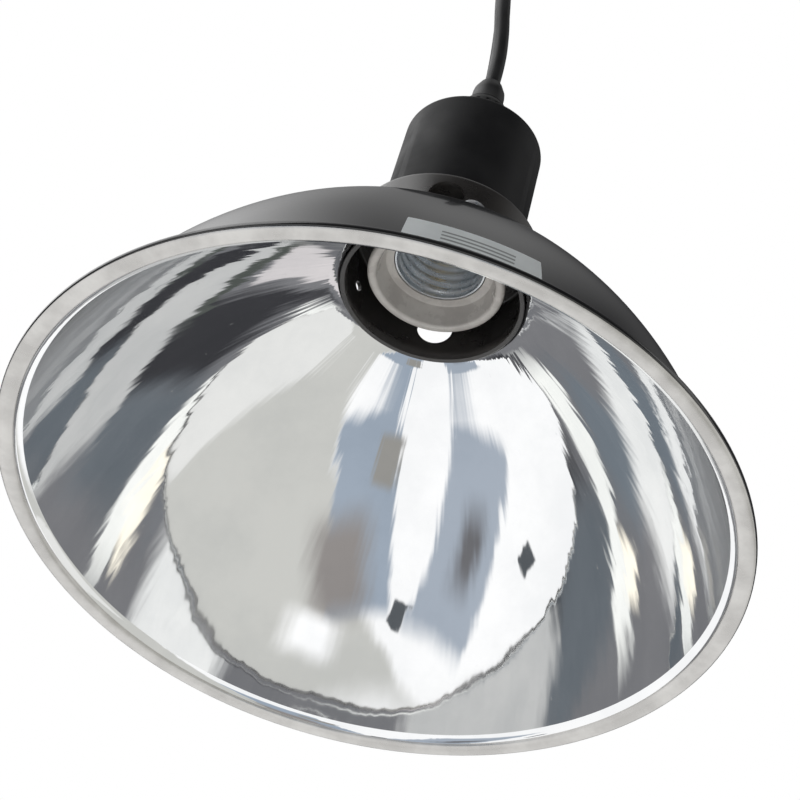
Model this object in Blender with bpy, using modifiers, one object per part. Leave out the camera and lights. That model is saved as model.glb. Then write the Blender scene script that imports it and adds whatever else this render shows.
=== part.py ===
"""Heat lamp fixture: spun aluminium reflector, vented neck, porcelain screw socket, cord and plug.

Metres, +Z up.  The origin is the middle of the rim's flat underside and the lamp opens
downwards, so the reflector stands on its rim.  -Y is the side with the rating label.
"""
import math

import bmesh
import bpy
from mathutils import Matrix, Vector

MM = 0.001
GAP = 0.3            # clearance between two meshes that touch

# reflector
RIM_R = 108.0        # outside of the rolled rim
BEAD_W = 5.4         # width of the flattened roll
BEAD_H = 3.1         # height of the flattened roll
WALL_INSET = 1.1     # how far inside the roll the outer wall starts
LEAN_RIM = 17.4      # lean of the wall from upright, in degrees: at the rim,
LEAN_MID = 25.8      # where the lower arc meets the upper one,
LEAN_CONE = 55.6     # and on the cone round the opening
ARC_LOW = 180.0      # radii of the two arcs of the outer wall
ARC_HIGH = 141.0
DOME_WALL = 1.0
HOLE_R = 27.8        # opening under the neck
DOME_STEPS = 48

# vented neck
NECK_R = 29.5
NECK_WALL = 1.2
NECK_TOP = 115.3     # height of the shoulder
SPIGOT_R = 20.9
SPIGOT_H = 5.7
CRIMP_LIP = 0.7      # how far the crimped lip reaches under the reflector
VENT_R = 5.5
VENT_Z = 105.2
VENT_COUNT = 2
VENT_AZ = -8.0
SIDE_HOLE_R = 1.7    # spare screw hole in the neck
SIDE_HOLE_AZ = -127.0
SIDE_HOLE_Z = 104.0
NECK_SCREW_AZ = 9.6
NECK_SCREW_Z = 100.5
NECK_SCREW_HEAD_R = 4.0

# cap
CAP_R = 22.6
CAP_DRAFT = 0.5      # how much narrower the cap is at its top
CAP_WALL = 1.4
CAP_H = 45.9
CAP_TOP_WALL = 1.6
CAP_EDGE = 2.0
CAP_SCREW_UP = 2.8   # height of the cap screws above the cap's lower edge

# porcelain socket
LIP_R = 21.4
LIP_H = 3.7
LIP_BORE_R = 18.4
LIP_Z = 97.3
BODY_R = 19.3
HEAD_R = 17.0
WELL_R = 17.2        # radius at the foot of the mouth's taper
WELL_H = 7.6
SHELL_R = 14.1
SHELL_WALL = 0.5
SHELL_WAVE = 0.7
THREAD_PITCH = 3.63
SHELL_H = 23.6
FLOOR_T = 8.0        # porcelain above the shell
HEAD_H = 6.0         # height of the narrow head block
CORE_HOLE_R = 1.6    # moulding hole through the floor

# terminals, bracket and nipple
PLATE_T = 1.0
LIVE_RIVET_Y = 5.2
LIVE_SCREW_Y = 12.0
NEUTRAL_RIVET_Y = -10.9
NEUTRAL_SCREW_Y = -5.6
RIVET_R = 1.2
TERM_SCREW_R = 1.4
BRACKET_W = 16.0
BRACKET_T = 1.5
BRACKET_X = 16.3
FOOT_L = 6.8
FOOT_SCREW_X = 12.4
FOOT_SCREW_R = 1.5
NIPPLE_R = 4.9
NIPPLE_BORE = 3.4
NIPPLE_BELOW = 8.1   # length below the bracket's bridge
NIPPLE_ABOVE = 9.5   # length above the cap
NUT_AF = 14.0
NUT_T = 3.2

# cord grip
GRIP_AF = 17.0
GRIP_HEX_H = 5.2
GRIP_NECK_R = 6.6
GRIP_NECK_H = 9.0
GRIP_NUT_R = 8.2
GRIP_NUT_H = 25.4
GRIP_MOUTH_R = 3.6
GRIP_WAIST_R = 5.3
SEAL_H = 5.4

# cord
CORD_D = 5.2
CORE_D = 1.8
CORD_STEP = 13.0     # spacing of the points along the cord
LAMP_LEAD = [
    (0, 0, 201), (-0.4, 0, 210), (-1.6, 0, 221), (-3.4, 0.4, 233), (-4.6, 2.8, 244.5),
    (-4.9, 9, 254.2), (-4, 18.5, 260.7), (-2.4, 30, 263), (-0.9, 41.5, 260.7), (0.1, 51.2, 254.2),
    (0.5, 57.6, 244.5), (0.4, 60.4, 232), (-0.3, 61.8, 215), (-2.2, 62.6, 196), (-6, 63.6, 174),
    (-13, 64.6, 149), (-23, 64.8, 125), (-36, 62.8, 101), (-51, 57.6, 77.5), (-68, 49.5, 55.5),
    (-85, 38.5, 35), (-102, 26, 18), (-116, 13.5, 7.2), (-127, 2.5, 3.6), (-132.4, -7.5, 4.6)]
SWITCH_LEAD = [(-134, -90, 4.6), (-136, -103, 2.9), (-143, -114.5, 2.6), (-154.5, -121, 2.6),
               (-168, -121, 2.6), (-180.5, -114.5, 2.6), (-189.5, -103, 2.6), (-194.5, -87, 2.6),
               (-197, -66, 2.6), (-198.3, -42, 2.6), (-198.8, -16, 2.7), (-198.6, 12, 3.1),
               (-198.5, 30, 3.6)]
PLUG_LEAD = [(-149.6, 27.3, 9.7), (-155.6, 17.2, 8.6), (-160.3, 9.2, 7.8)]

# inline switch
SWITCH_X, SWITCH_Y = -134.0, -50.0
SWITCH_L, SWITCH_W = 60.0, 25.0
SWITCH_BASE_H, SWITCH_COVER_H = 5.8, 10.9
SWITCH_WALL = 2.0
SWITCH_END = 14.0    # solid length at each end
ROCKER_L, ROCKER_W, ROCKER_H = 14.8, 9.4, 7.0
ROCKER_PIN_R = 1.0
ROCKER_TILT = 8.0
SWITCH_SCREW_Y = 24.0

# coil, tie and plug
COIL_X, COIL_Y = -165.0, 68.0
COIL_R = 28.0        # middle of the turns
COIL_W, COIL_H = 17.0, 11.5
TURN_PITCH = 5.5       # from one turn to the next
LEAVE_AT = -30.0       # direction from the coil's middle where the cord leaves it, in degrees
TIE_AT = 75.0        # direction of the tie from the coil's middle, in degrees
TIE_W, TIE_T = 8.0, 0.9
PLUG_X, PLUG_Y = -163.0, 1.0   # end of the strain relief
PLUG_W, PLUG_L, PLUG_H = 25.0, 30.0, 15.0
RELIEF_L = 24.0
RELIEF_R0, RELIEF_R1 = 3.7, 5.4
BLADE_W, BLADE_T, BLADE_L = 6.4, 1.5, 17.0
BLADE_PITCH = 12.7
BLADE_IN = 5.0

# rating label
LABEL_AZ0, LABEL_AZ1 = -7.0, 15.2
LABEL_Z0, LABEL_Z1 = 7.5, 22.6
LABEL_T = 0.3

for old in list(bpy.data.objects):
    bpy.data.objects.remove(old, do_unlink=True)

parts = bpy.data.collections.new("heat_lamp_fixture")
cutters = bpy.data.collections.new("cutters")
bpy.context.scene.collection.children.link(parts)
bpy.context.scene.collection.children.link(cutters)


# ---------------------------------------------------------------- helpers

def finish_material(obj, colour, rough, metal):
    mat = bpy.data.materials.new(obj.name)
    mat.use_nodes = True
    shader = mat.node_tree.nodes["Principled BSDF"]
    shader.inputs["Base Color"].default_value = (*colour, 1)
    shader.inputs["Roughness"].default_value = rough
    shader.inputs["Metallic"].default_value = metal
    obj.data.materials.append(mat)


ALUMINIUM = ((0.80, 0.80, 0.81), 0.12, 1.0)
BLACK_PAINT = ((0.02, 0.02, 0.02), 0.45, 0.0)
STEEL = ((0.62, 0.62, 0.64), 0.30, 1.0)
BRASS = ((0.75, 0.56, 0.25), 0.28, 1.0)
PORCELAIN = ((0.72, 0.70, 0.67), 0.25, 0.0)
NYLON = ((0.03, 0.03, 0.03), 0.50, 0.0)
RUBBER = ((0.04, 0.04, 0.04), 0.80, 0.0)
CORD_SKIN = ((0.03, 0.03, 0.03), 0.60, 0.0)
PAPER = ((0.70, 0.71, 0.72), 0.50, 0.0)
COPPER_WIRE = ((0.85, 0.85, 0.85), 0.50, 0.0)


def add_object(name, mesh, look=None, group=parts):
    obj = bpy.data.objects.new(name, mesh)
    group.objects.link(obj)
    if look:
        finish_material(obj, *look)
    if group is cutters:
        obj.hide_render = True
        obj.display_type = "WIRE"
    return obj


def take_active(name, look, group=parts):
    """Name the primitive that was just added and move it to its collection."""
    obj = bpy.context.object
    for home in list(obj.users_collection):
        home.objects.unlink(obj)
    group.objects.link(obj)
    obj.name = obj.data.name = name
    if look:
        finish_material(obj, *look)
    if group is cutters:
        obj.hide_render = True
        obj.display_type = "WIRE"
    return obj


def turned(name, profile, look=None, steps=32, group=parts, closed=True):
    """Turn an (r, z) profile about Z; it runs down the outer side, then up the inner one."""
    mesh = bpy.data.meshes.new(name)
    count = len(profile)
    edges = [(i, i + 1) for i in range(count - 1)]
    if closed:
        edges.append((count - 1, 0))
    # A cutter starts a little off the axis, so that its edges meet no edge of what it cuts.
    phase = 0.13 if group is cutters else 0.0
    mesh.from_pydata([(r * MM * math.cos(phase), r * MM * math.sin(phase), z * MM)
                      for r, z in profile], edges, [])
    obj = add_object(name, mesh, look, group)
    screw = obj.modifiers.new("turn", "SCREW")
    screw.axis = "Z"
    screw.angle = 2 * math.pi
    screw.steps = screw.render_steps = steps
    screw.use_merge_vertices = True
    screw.merge_threshold = 1e-5
    screw.use_smooth_shade = True
    return obj


def pin(name, r, z0, z1, look=None, steps=16, head=None, group=parts):
    """A round pin from z0 up to z1; head is (radius, height, at_top)."""
    outline = [(0, z1), (r, z1), (r, z0), (0, z0)]
    if head and head[2]:
        outline = [(0, z1 + head[1]), (head[0] * 0.8, z1 + head[1]), (head[0], z1 + head[1] * 0.6),
                   (head[0], z1), (r, z1), (r, z0), (0, z0)]
    elif head:
        outline = [(0, z1), (r, z1), (r, z0), (head[0], z0), (head[0], z0 - head[1] * 0.6),
                   (head[0] * 0.8, z0 - head[1]), (0, z0 - head[1])]
    return turned(name, outline, look, steps, group, closed=False)


def block(name, size, centre, look=None, bevel=0.0, group=parts, segments=2):
    bpy.ops.mesh.primitive_cube_add(size=1, location=[c * MM for c in centre])
    obj = take_active(name, look, group)
    for vertex in obj.data.vertices:
        vertex.co = Vector([vertex.co[k] * size[k] * MM for k in range(3)])
    if bevel:
        mod = obj.modifiers.new("edge", "BEVEL")
        mod.width = bevel * MM
        mod.segments = segments
        mod.limit_method = "ANGLE"
    return obj


def hexagon(name, across_flats, z0, height, look, bore=0.0):
    bpy.ops.mesh.primitive_cylinder_add(
        vertices=6, radius=across_flats / math.sqrt(3) * MM, depth=height * MM)
    obj = take_active(name, look)
    obj.data.transform(Matrix.Translation((0, 0, (z0 + height / 2) * MM)))
    if bore:
        hole = pin(name + "_bore", bore, z0 - 1, z0 + height + 1, steps=24, group=cutters)
        hole.parent = obj
        cut(obj, hole)
    return obj


def boolean(obj, other, operation):
    mod = obj.modifiers.new(other.name, "BOOLEAN")
    mod.operation = operation
    mod.solver = "EXACT"
    mod.object = other
    return obj


def cut(obj, other):
    return boolean(obj, other, "DIFFERENCE")


def join(obj, other):
    return boolean(obj, other, "UNION")


def place(obj, x=0.0, y=0.0, z=0.0, turn=None):
    """Set an object's place in millimetres and its turn as an Euler triple in degrees."""
    obj.location = (x * MM, y * MM, z * MM)
    if turn:
        obj.rotation_euler = [math.radians(a) for a in turn]
    return obj


def around(azimuth, radius, height):
    """A point at an azimuth in degrees, 0 at -Y and turning towards +X."""
    a = math.radians(azimuth)
    return radius * math.sin(a), -radius * math.cos(a), height


def radial(obj, azimuth, radius, height):
    """Lay an object that was made along Z so that its +Z points outwards at an azimuth."""
    return place(obj, *around(azimuth, radius, height), turn=(90, 0, azimuth))


def smooth_route(points, step):
    """Evenly spaced points on the centripetal spline through a route's own points."""
    pts = [Vector(p) for p in points]
    pts = [pts[0] * 2 - pts[1]] + pts + [pts[-1] * 2 - pts[-2]]
    fine = []
    for i in range(1, len(pts) - 2):
        p = pts[i - 1:i + 3]
        t = [0.0]
        for a, b in zip(p, p[1:]):
            t.append(t[-1] + math.sqrt((b - a).length))
        for k in range(24):
            u = t[1] + (t[2] - t[1]) * k / 24

            def mix(a, b, ta, tb):
                return a * ((tb - u) / (tb - ta)) + b * ((u - ta) / (tb - ta))

            a = [mix(p[j], p[j + 1], t[j], t[j + 1]) for j in range(3)]
            b = [mix(a[j], a[j + 1], t[j], t[j + 2]) for j in range(2)]
            fine.append(mix(b[0], b[1], t[1], t[2]))
    fine.append(pts[-2])
    run = [0.0]
    for a, b in zip(fine, fine[1:]):
        run.append(run[-1] + (b - a).length)
    count = max(2, round(run[-1] / step))
    even, k = [], 0
    for i in range(count + 1):
        want = run[-1] * i / count
        while k < len(run) - 2 and run[k + 1] < want:
            k += 1
        even.append(fine[k].lerp(fine[k + 1], (want - run[k]) / (run[k + 1] - run[k])))
    return even


def tube(name, points, diameter, look, ends, step=CORD_STEP, resolution=2):
    """A round cord through points; ends are its directions of travel at its two square ends."""
    curve = bpy.data.curves.new(name, "CURVE")
    curve.dimensions = "3D"
    curve.bevel_depth = diameter / 2 * MM
    curve.bevel_resolution = resolution
    curve.use_fill_caps = True
    stub = diameter * 0.7
    first, last = Vector(points[0]), Vector(points[-1])
    inner = [first + Vector(ends[0]) * stub] + points[1:-1] + [last - Vector(ends[1]) * stub]
    route = [first] + smooth_route(inner, step) + [last]
    spline = curve.splines.new("POLY")
    spline.points.add(len(route) - 1)
    for point, co in zip(spline.points, route):
        point.co = (*(co * MM), 1)
    obj = bpy.data.objects.new(name, curve)
    parts.objects.link(obj)
    finish_material(obj, *look)
    return obj


def curve_to_mesh(obj):
    """Swap a curve object for a mesh one with its caps welded on."""
    graph = bpy.context.evaluated_depsgraph_get()
    mesh = bpy.data.meshes.new_from_object(obj.evaluated_get(graph))
    bm = bmesh.new()
    bm.from_mesh(mesh)
    bmesh.ops.remove_doubles(bm, verts=bm.verts, dist=1e-6)
    bm.to_mesh(mesh)
    bm.free()
    name, place_in_world = obj.name, obj.matrix_world.copy()
    bpy.data.objects.remove(obj, do_unlink=True)
    made = bpy.data.objects.new(name, mesh)
    parts.objects.link(made)
    made.matrix_world = place_in_world
    return made


# ---------------------------------------------------------------- reflector

bead_in = RIM_R - BEAD_W
wall_r = bead_in - WALL_INSET
lean_rim, lean_mid, lean_cone = (math.radians(a) for a in (LEAN_RIM, LEAN_MID, LEAN_CONE))


def wall_point(lean, inset=0.0):
    """The point of the arcs where the wall leans by an angle, or a depth under that point."""
    low = min(lean, lean_mid)
    r = wall_r - ARC_LOW * (math.cos(lean_rim) - math.cos(low))
    z = BEAD_H + ARC_LOW * (math.sin(low) - math.sin(lean_rim))
    if lean > lean_mid:
        r -= ARC_HIGH * (math.cos(lean_mid) - math.cos(lean))
        z += ARC_HIGH * (math.sin(lean) - math.sin(lean_mid))
    return r - inset * math.cos(lean), z - inset * math.sin(lean)


def cone_z(r, inset=0.0):
    """Height of the cone round the opening at a radius."""
    foot_r, foot_z = wall_point(lean_cone, inset)
    return foot_z + (foot_r - r) / math.tan(lean_cone)


def wall_radius(z):
    """Outer radius of the arcs at a height."""
    mid_z = wall_point(lean_mid)[1]
    if z < mid_z:
        lean = math.asin(math.sin(lean_rim) + (z - BEAD_H) / ARC_LOW)
    else:
        lean = math.asin(math.sin(lean_mid) + (z - mid_z) / ARC_HIGH)
    return wall_point(lean)[0]


leans = [lean_cone + (lean_mid - lean_cone) * k / 5 for k in range(5)]
leans += [lean_mid + (lean_rim - lean_mid) * k / 3 for k in range(4)]
dome = [(HOLE_R, cone_z(HOLE_R))] + [wall_point(lean) for lean in leans]
dome += [(RIM_R - 1.2, BEAD_H), (RIM_R - 0.35, BEAD_H - 0.4),
         (RIM_R, BEAD_H - 1.2), (RIM_R, 1.1), (RIM_R - 0.35, 0.35), (RIM_R - 1.1, 0),
         (bead_in + 0.9, 0), (bead_in + 0.25, 0.3), (bead_in, 0.9)]
dome += [wall_point(lean, DOME_WALL) for lean in reversed(leans)]
dome += [(HOLE_R, cone_z(HOLE_R, DOME_WALL))]
turned("dome_reflector", dome, ALUMINIUM, DOME_STEPS)

# ---------------------------------------------------------------- vented neck

neck_in = NECK_R - NECK_WALL
throat = HOLE_R - GAP
lip_out = HOLE_R + CRIMP_LIP
spigot_in = SPIGOT_R - NECK_WALL
under = cone_z(lip_out, DOME_WALL) - GAP
neck = [
    (SPIGOT_R, NECK_TOP + SPIGOT_H), (SPIGOT_R, NECK_TOP), (NECK_R - 1.6, NECK_TOP),
    (NECK_R - 0.5, NECK_TOP - 0.5), (NECK_R, NECK_TOP - 1.6), (NECK_R, cone_z(NECK_R) + GAP),
    (neck_in, cone_z(neck_in) + GAP), (throat, cone_z(throat) + GAP),
    (throat, cone_z(throat, DOME_WALL) - GAP), (lip_out, under), (lip_out - 0.1, under - 0.5),
    (throat - 0.6, under - 0.3), (throat - 0.6, cone_z(throat) + GAP + 0.9),
    (neck_in, cone_z(throat) + GAP + 1.6), (neck_in, NECK_TOP - NECK_WALL - 0.6),
    (neck_in - 0.6, NECK_TOP - NECK_WALL), (spigot_in, NECK_TOP - NECK_WALL),
    (spigot_in, NECK_TOP + SPIGOT_H)]
vent_neck = turned("vent_neck", neck, BLACK_PAINT, DOME_STEPS)
for k in range(VENT_COUNT):
    hole = pin("vent_cut_%d" % k, VENT_R, -4, 4, steps=16, group=cutters)
    cut(vent_neck, radial(hole, VENT_AZ + 360 / VENT_COUNT * k, NECK_R, VENT_Z))
side_hole = pin("side_hole_cut", SIDE_HOLE_R, -4, 4, steps=12, group=cutters)
cut(vent_neck, radial(side_hole, SIDE_HOLE_AZ, NECK_R, SIDE_HOLE_Z))

screw_hole = pin("neck_screw_cut", 2.3, -4, 4, group=cutters)
cut(vent_neck, radial(screw_hole, NECK_SCREW_AZ, NECK_R, NECK_SCREW_Z))
neck_screw = pin("neck_screw", 2.0, -6.4, 0, STEEL, head=(NECK_SCREW_HEAD_R, 2.4, True))
radial(neck_screw, NECK_SCREW_AZ, NECK_R + GAP, NECK_SCREW_Z)
nut = hexagon("neck_screw_nut", 7.0, -3.0, 3.0, STEEL, bore=2.3)
radial(nut, NECK_SCREW_AZ, neck_in * math.cos(math.asin(4.1 / neck_in)) - GAP, NECK_SCREW_Z)

# ---------------------------------------------------------------- cap

cap_low = NECK_TOP + GAP
cap_top = cap_low + CAP_H
cap_r_top = CAP_R - CAP_DRAFT
cap_in = CAP_R - CAP_WALL
cap_in_top = cap_r_top - CAP_WALL
cap_roof = cap_top - CAP_TOP_WALL
edge = [(cap_r_top - CAP_EDGE + CAP_EDGE * math.sin(math.radians(a)),
         cap_top - CAP_EDGE + CAP_EDGE * math.cos(math.radians(a))) for a in (0, 30, 60, 90)]
cap = [(NIPPLE_R + GAP, cap_top)] + edge + [
    (CAP_R, cap_low + 0.5), (CAP_R - 0.4, cap_low), (cap_in, cap_low),
    (cap_in_top, cap_roof - 1.5), (cap_in_top - 1.5, cap_roof), (NIPPLE_R + GAP, cap_roof)]
socket_cap = turned("socket_cap", cap, BLACK_PAINT, 40)
cap_screw_z = cap_low + CAP_SCREW_UP
for k in range(3):
    azimuth = 60 + 120 * k
    for body in (vent_neck, socket_cap):
        hole = pin("cap_screw_cut_%s_%d" % (body.name, k), 1.6, -6, 6, steps=12, group=cutters)
        cut(body, radial(hole, azimuth, SPIGOT_R, cap_screw_z))
    screw = pin("cap_screw_%d" % (k + 1), 1.25, -(CAP_R - spigot_in), 0, STEEL, steps=12,
                head=(2.4, 1.5, True))
    radial(screw, azimuth, CAP_R + GAP, cap_screw_z)

# ---------------------------------------------------------------- porcelain socket

well_z = LIP_Z + WELL_H
floor_z = well_z + SHELL_H + GAP * 2
head_z = floor_z + FLOOR_T
bore_r = SHELL_R + GAP
porcelain = [
    (CORE_HOLE_R, head_z), (HEAD_R - 0.8, head_z), (HEAD_R, head_z - 0.8), (HEAD_R, head_z - HEAD_H),
    (BODY_R, head_z - HEAD_H - 1.5), (BODY_R, LIP_Z + LIP_H + 0.8), (LIP_R, LIP_Z + LIP_H - 0.3),
    (LIP_R, LIP_Z + 1.2), (LIP_R - 0.4, LIP_Z + 0.4), (LIP_R - 1.2, LIP_Z),
    (LIP_BORE_R + 0.8, LIP_Z), (LIP_BORE_R, LIP_Z + 0.8), (WELL_R, well_z - 0.8),
    (WELL_R - 0.8, well_z), (bore_r, well_z), (bore_r, floor_z), (CORE_HOLE_R, floor_z)]
socket = turned("porcelain_socket", porcelain, PORCELAIN, 32)

shell_low = well_z + GAP
shell_top = shell_low + SHELL_H
waves = []
rows = int((SHELL_H - 3.0) / (THREAD_PITCH / 3))
for i in range(rows + 1):
    z = shell_top - 2.0 - (SHELL_H - 3.0) * i / rows
    waves.append((SHELL_R - SHELL_WAVE / 2 + SHELL_WAVE / 2
                  * math.cos(2 * math.pi * (z - shell_low) / THREAD_PITCH), z))
flange_r = 8.6
shell = [(flange_r, shell_top), (SHELL_R - 1.2, shell_top), (SHELL_R - 0.4, shell_top - 0.6)]
shell += waves + [(SHELL_R, shell_low)]
shell += [(SHELL_R - SHELL_WALL, shell_low)]
shell += [(r - SHELL_WALL, z) for r, z in reversed(waves)]
shell += [(SHELL_R - 1.4, shell_top - SHELL_WALL), (flange_r, shell_top - SHELL_WALL)]
screw_shell = turned("screw_shell", shell, ALUMINIUM, 20)

plate_z = head_z + GAP
for side, rivet_y, screw_y, root in (("live", LIVE_RIVET_Y, LIVE_SCREW_Y, floor_z - 0.5),
                                     ("neutral", NEUTRAL_RIVET_Y, NEUTRAL_SCREW_Y, shell_top)):
    cut(socket, place(pin("rivet_cut_" + side, RIVET_R + GAP, floor_z - 1, head_z + 1, steps=12,
                          group=cutters), y=rivet_y))
    cut(socket, place(pin("screw_cut_" + side, TERM_SCREW_R + GAP, head_z - 5, head_z + 1,
                          steps=12, group=cutters), y=screw_y))
    middle = (rivet_y + screw_y) / 2
    plate = block("terminal_" + side, (8, abs(rivet_y - screw_y) + 6.4, PLATE_T),
                  (0, middle, plate_z + PLATE_T / 2), BRASS)
    cut(plate, place(pin("plate_rivet_cut_" + side, RIVET_R + GAP, plate_z - 1,
                         plate_z + PLATE_T + 1, steps=12, group=cutters), y=rivet_y))
    cut(plate, place(pin("plate_screw_cut_" + side, TERM_SCREW_R + GAP, plate_z - 1,
                         plate_z + PLATE_T + 1, steps=12, group=cutters), y=screw_y))
    top = plate_z + PLATE_T + GAP
    rivet = [(0, top + 0.7), (1.4, top + 0.7), (1.7, top), (RIVET_R, top),
             (RIVET_R, root - 0.9), (1.7, root - 0.9), (1.4, root - 1.5), (0, root - 1.5)]
    place(turned("rivet_" + side, rivet, BRASS, 12, closed=False), y=rivet_y)
    place(pin("terminal_screw_" + side, TERM_SCREW_R, head_z - 4, top, BRASS, steps=12,
              head=(2.6, 1.6, True)), y=screw_y)
cut(screw_shell, place(pin("shell_rivet_cut", RIVET_R + GAP, shell_top - 2, shell_top + 1,
                           steps=12, group=cutters), y=NEUTRAL_RIVET_Y))

# centre contact: a riveted root and a springy tongue that swings on it
leaf_z = floor_z - 0.4 - GAP
root_leaf = block("contact_root", (5, 4.8, 0.4), (0, LIVE_RIVET_Y + 0.2, leaf_z + 0.2), BRASS)
cut(root_leaf, place(pin("root_cut", RIVET_R + GAP, leaf_z - 1, leaf_z + 1, steps=12,
                         group=cutters), y=LIVE_RIVET_Y))
TONGUE_Y = LIVE_RIVET_Y - 2.4 - GAP
TONGUE_L = 8.0
TONGUE_DROP = 20.0
hinge = bpy.data.objects.new("tongue_hinge", None)
parts.objects.link(hinge)
place(hinge, 0, TONGUE_Y, leaf_z + 0.2, turn=(TONGUE_DROP, 0, 0))
tongue = block("contact_tongue", (5, TONGUE_L, 0.4), (0, -TONGUE_L / 2, 0), BRASS)
tongue.parent = hinge
button = pin("contact_button", 1.8, -0.9, 0.1, steps=16, group=cutters)
button.parent = hinge
button.location = (0, -(TONGUE_L - 2.4) * MM, 0)
join(tongue, button)

# ---------------------------------------------------------------- bracket, nipple and nut

bridge_top = cap_roof - GAP
foot_z = plate_z
half = BRACKET_X
outline = [(-half, foot_z), (-half + FOOT_L, foot_z), (-half + FOOT_L, foot_z + BRACKET_T),
           (-half + BRACKET_T, foot_z + BRACKET_T), (-half + BRACKET_T, bridge_top - BRACKET_T),
           (half - BRACKET_T, bridge_top - BRACKET_T), (half - BRACKET_T, foot_z + BRACKET_T),
           (half - FOOT_L, foot_z + BRACKET_T), (half - FOOT_L, foot_z), (half, foot_z),
           (half, bridge_top), (-half, bridge_top)]
strap = bpy.data.curves.new("socket_bracket", "CURVE")
strap.dimensions = "2D"
strap.fill_mode = "BOTH"
strap.extrude = BRACKET_W / 2 * MM
line = strap.splines.new("POLY")
line.points.add(len(outline) - 1)
line.use_cyclic_u = True
for point, (x, z) in zip(line.points, outline):
    point.co = (x * MM, z * MM, 0, 1)
bracket = bpy.data.objects.new("socket_bracket", strap)
parts.objects.link(bracket)
bracket.rotation_euler = (math.pi / 2, 0, 0)
bpy.context.view_layer.update()
bracket = curve_to_mesh(bracket)
finish_material(bracket, *STEEL)
bridge_low = bridge_top - BRACKET_T
cut(bracket, pin("bridge_cut", NIPPLE_R + GAP, bridge_low - 2, bridge_top + 2, steps=24,
                 group=cutters))
for k, side in enumerate((-1, 1)):
    x = side * FOOT_SCREW_X
    cut(bracket, place(pin("foot_cut_%d" % k, FOOT_SCREW_R + GAP, foot_z - 1,
                           foot_z + BRACKET_T + 1, steps=12, group=cutters), x=x))
    cut(socket, place(pin("foot_bore_%d" % k, FOOT_SCREW_R + GAP, head_z - 6.5, head_z + 1,
                          steps=12, group=cutters), x=x))
    place(pin("bracket_screw_%d" % (k + 1), FOOT_SCREW_R, head_z - 5.5,
              foot_z + BRACKET_T + GAP, STEEL, steps=12, head=(2.2, 1.8, True)), x=x)

nipple_low = bridge_low - NIPPLE_BELOW
nipple_top = cap_top + NIPPLE_ABOVE
turned("threaded_nipple", [(NIPPLE_R, nipple_top), (NIPPLE_R, nipple_low),
                           (NIPPLE_BORE, nipple_low), (NIPPLE_BORE, nipple_top)], STEEL, 16)
hexagon("bracket_nut", NUT_AF, bridge_low - GAP - NUT_T, NUT_T, STEEL, bore=NIPPLE_R + GAP)

# ---------------------------------------------------------------- cord grip

grip_z = cap_top + GAP
grip_neck_z = grip_z + GRIP_HEX_H
grip_neck_top = grip_neck_z + GRIP_NECK_H
grip = hexagon("gland_body", GRIP_AF, grip_z, GRIP_HEX_H, NYLON)
join(grip, pin("grip_neck", GRIP_NECK_R, grip_z + 1, grip_neck_top, steps=24, group=cutters))
cut(grip, pin("grip_bore", NIPPLE_R + GAP, grip_z - 1, nipple_top + GAP, steps=24, group=cutters))
cut(grip, pin("seal_bore", 4.5, nipple_top, grip_neck_top + 1, steps=24, group=cutters))
seal_z = nipple_top + GAP * 2
turned("gland_seal", [(4.2, seal_z + SEAL_H), (4.2, seal_z), (CORD_D / 2 + GAP, seal_z),
                      (CORD_D / 2 + GAP, seal_z + SEAL_H)], RUBBER, 16)
nut_z = grip_neck_z + GAP
nut_top = nut_z + GRIP_NUT_H
nut_roof = max(grip_neck_top, seal_z + SEAL_H) + GAP
cord_hole = CORD_D / 2 + GAP
turned("gland_nut", [
    (cord_hole, nut_top), (GRIP_MOUTH_R - 0.2, nut_top), (GRIP_MOUTH_R + 0.3, nut_top - 0.5),
    (GRIP_WAIST_R - 0.5, nut_top - 2.6), (GRIP_WAIST_R - 0.1, nut_top - 4.2),
    (GRIP_WAIST_R, nut_top - 6.0), (GRIP_WAIST_R, nut_top - 10.0),
    (GRIP_NUT_R, nut_roof - 1.5), (GRIP_NUT_R, nut_z + 0.6), (GRIP_NUT_R - 0.6, nut_z),
    (GRIP_NECK_R + GAP, nut_z), (GRIP_NECK_R + GAP, nut_roof - 0.2),
    (GRIP_NECK_R - 0.4, nut_roof), (cord_hole, nut_roof)], NYLON, 18)

# ---------------------------------------------------------------- cord inside the lamp

jacket_low = nipple_low - 1.0
cord_exit = nut_top + GAP
pin("cord_inner", CORD_D / 2, jacket_low, nut_top, CORD_SKIN, steps=12)
for side, name, screw_y in ((1, "wire_live", LIVE_SCREW_Y), (-1, "wire_neutral", NEUTRAL_SCREW_Y)):
    wire_top = jacket_low - GAP
    low = plate_z + PLATE_T + GAP * 2 + 1.6 + CORE_D / 2 + GAP
    tube(name, [(0, side * 1.2, wire_top), (0, side * 1.4, wire_top - 1.6),
                (0, side * 3.0, low + 1.6), (0, abs(screw_y) * side * 0.75, low),
                (0, screw_y, low)], CORE_D, COPPER_WIRE, ((0, 0, -1), (0, side, 0)), step=2.5)

# ---------------------------------------------------------------- rating label

bm = bmesh.new()
bmesh.ops.create_grid(bm, x_segments=8, y_segments=3, size=0.5)
for vertex in bm.verts:
    azimuth = LABEL_AZ0 + (LABEL_AZ1 - LABEL_AZ0) * (vertex.co.x + 0.5)
    z = LABEL_Z0 + (LABEL_Z1 - LABEL_Z0) * (vertex.co.y + 0.5)
    vertex.co = Vector(around(azimuth, wall_radius(z) + GAP * 1.4, z)) * MM
mesh = bpy.data.meshes.new("rating_label")
bm.to_mesh(mesh)
bm.free()
label = add_object("rating_label", mesh, PAPER)
skin = label.modifiers.new("sheet", "SOLIDIFY")
skin.thickness = LABEL_T * MM
skin.offset = 1.0

# ---------------------------------------------------------------- inline switch

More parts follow.
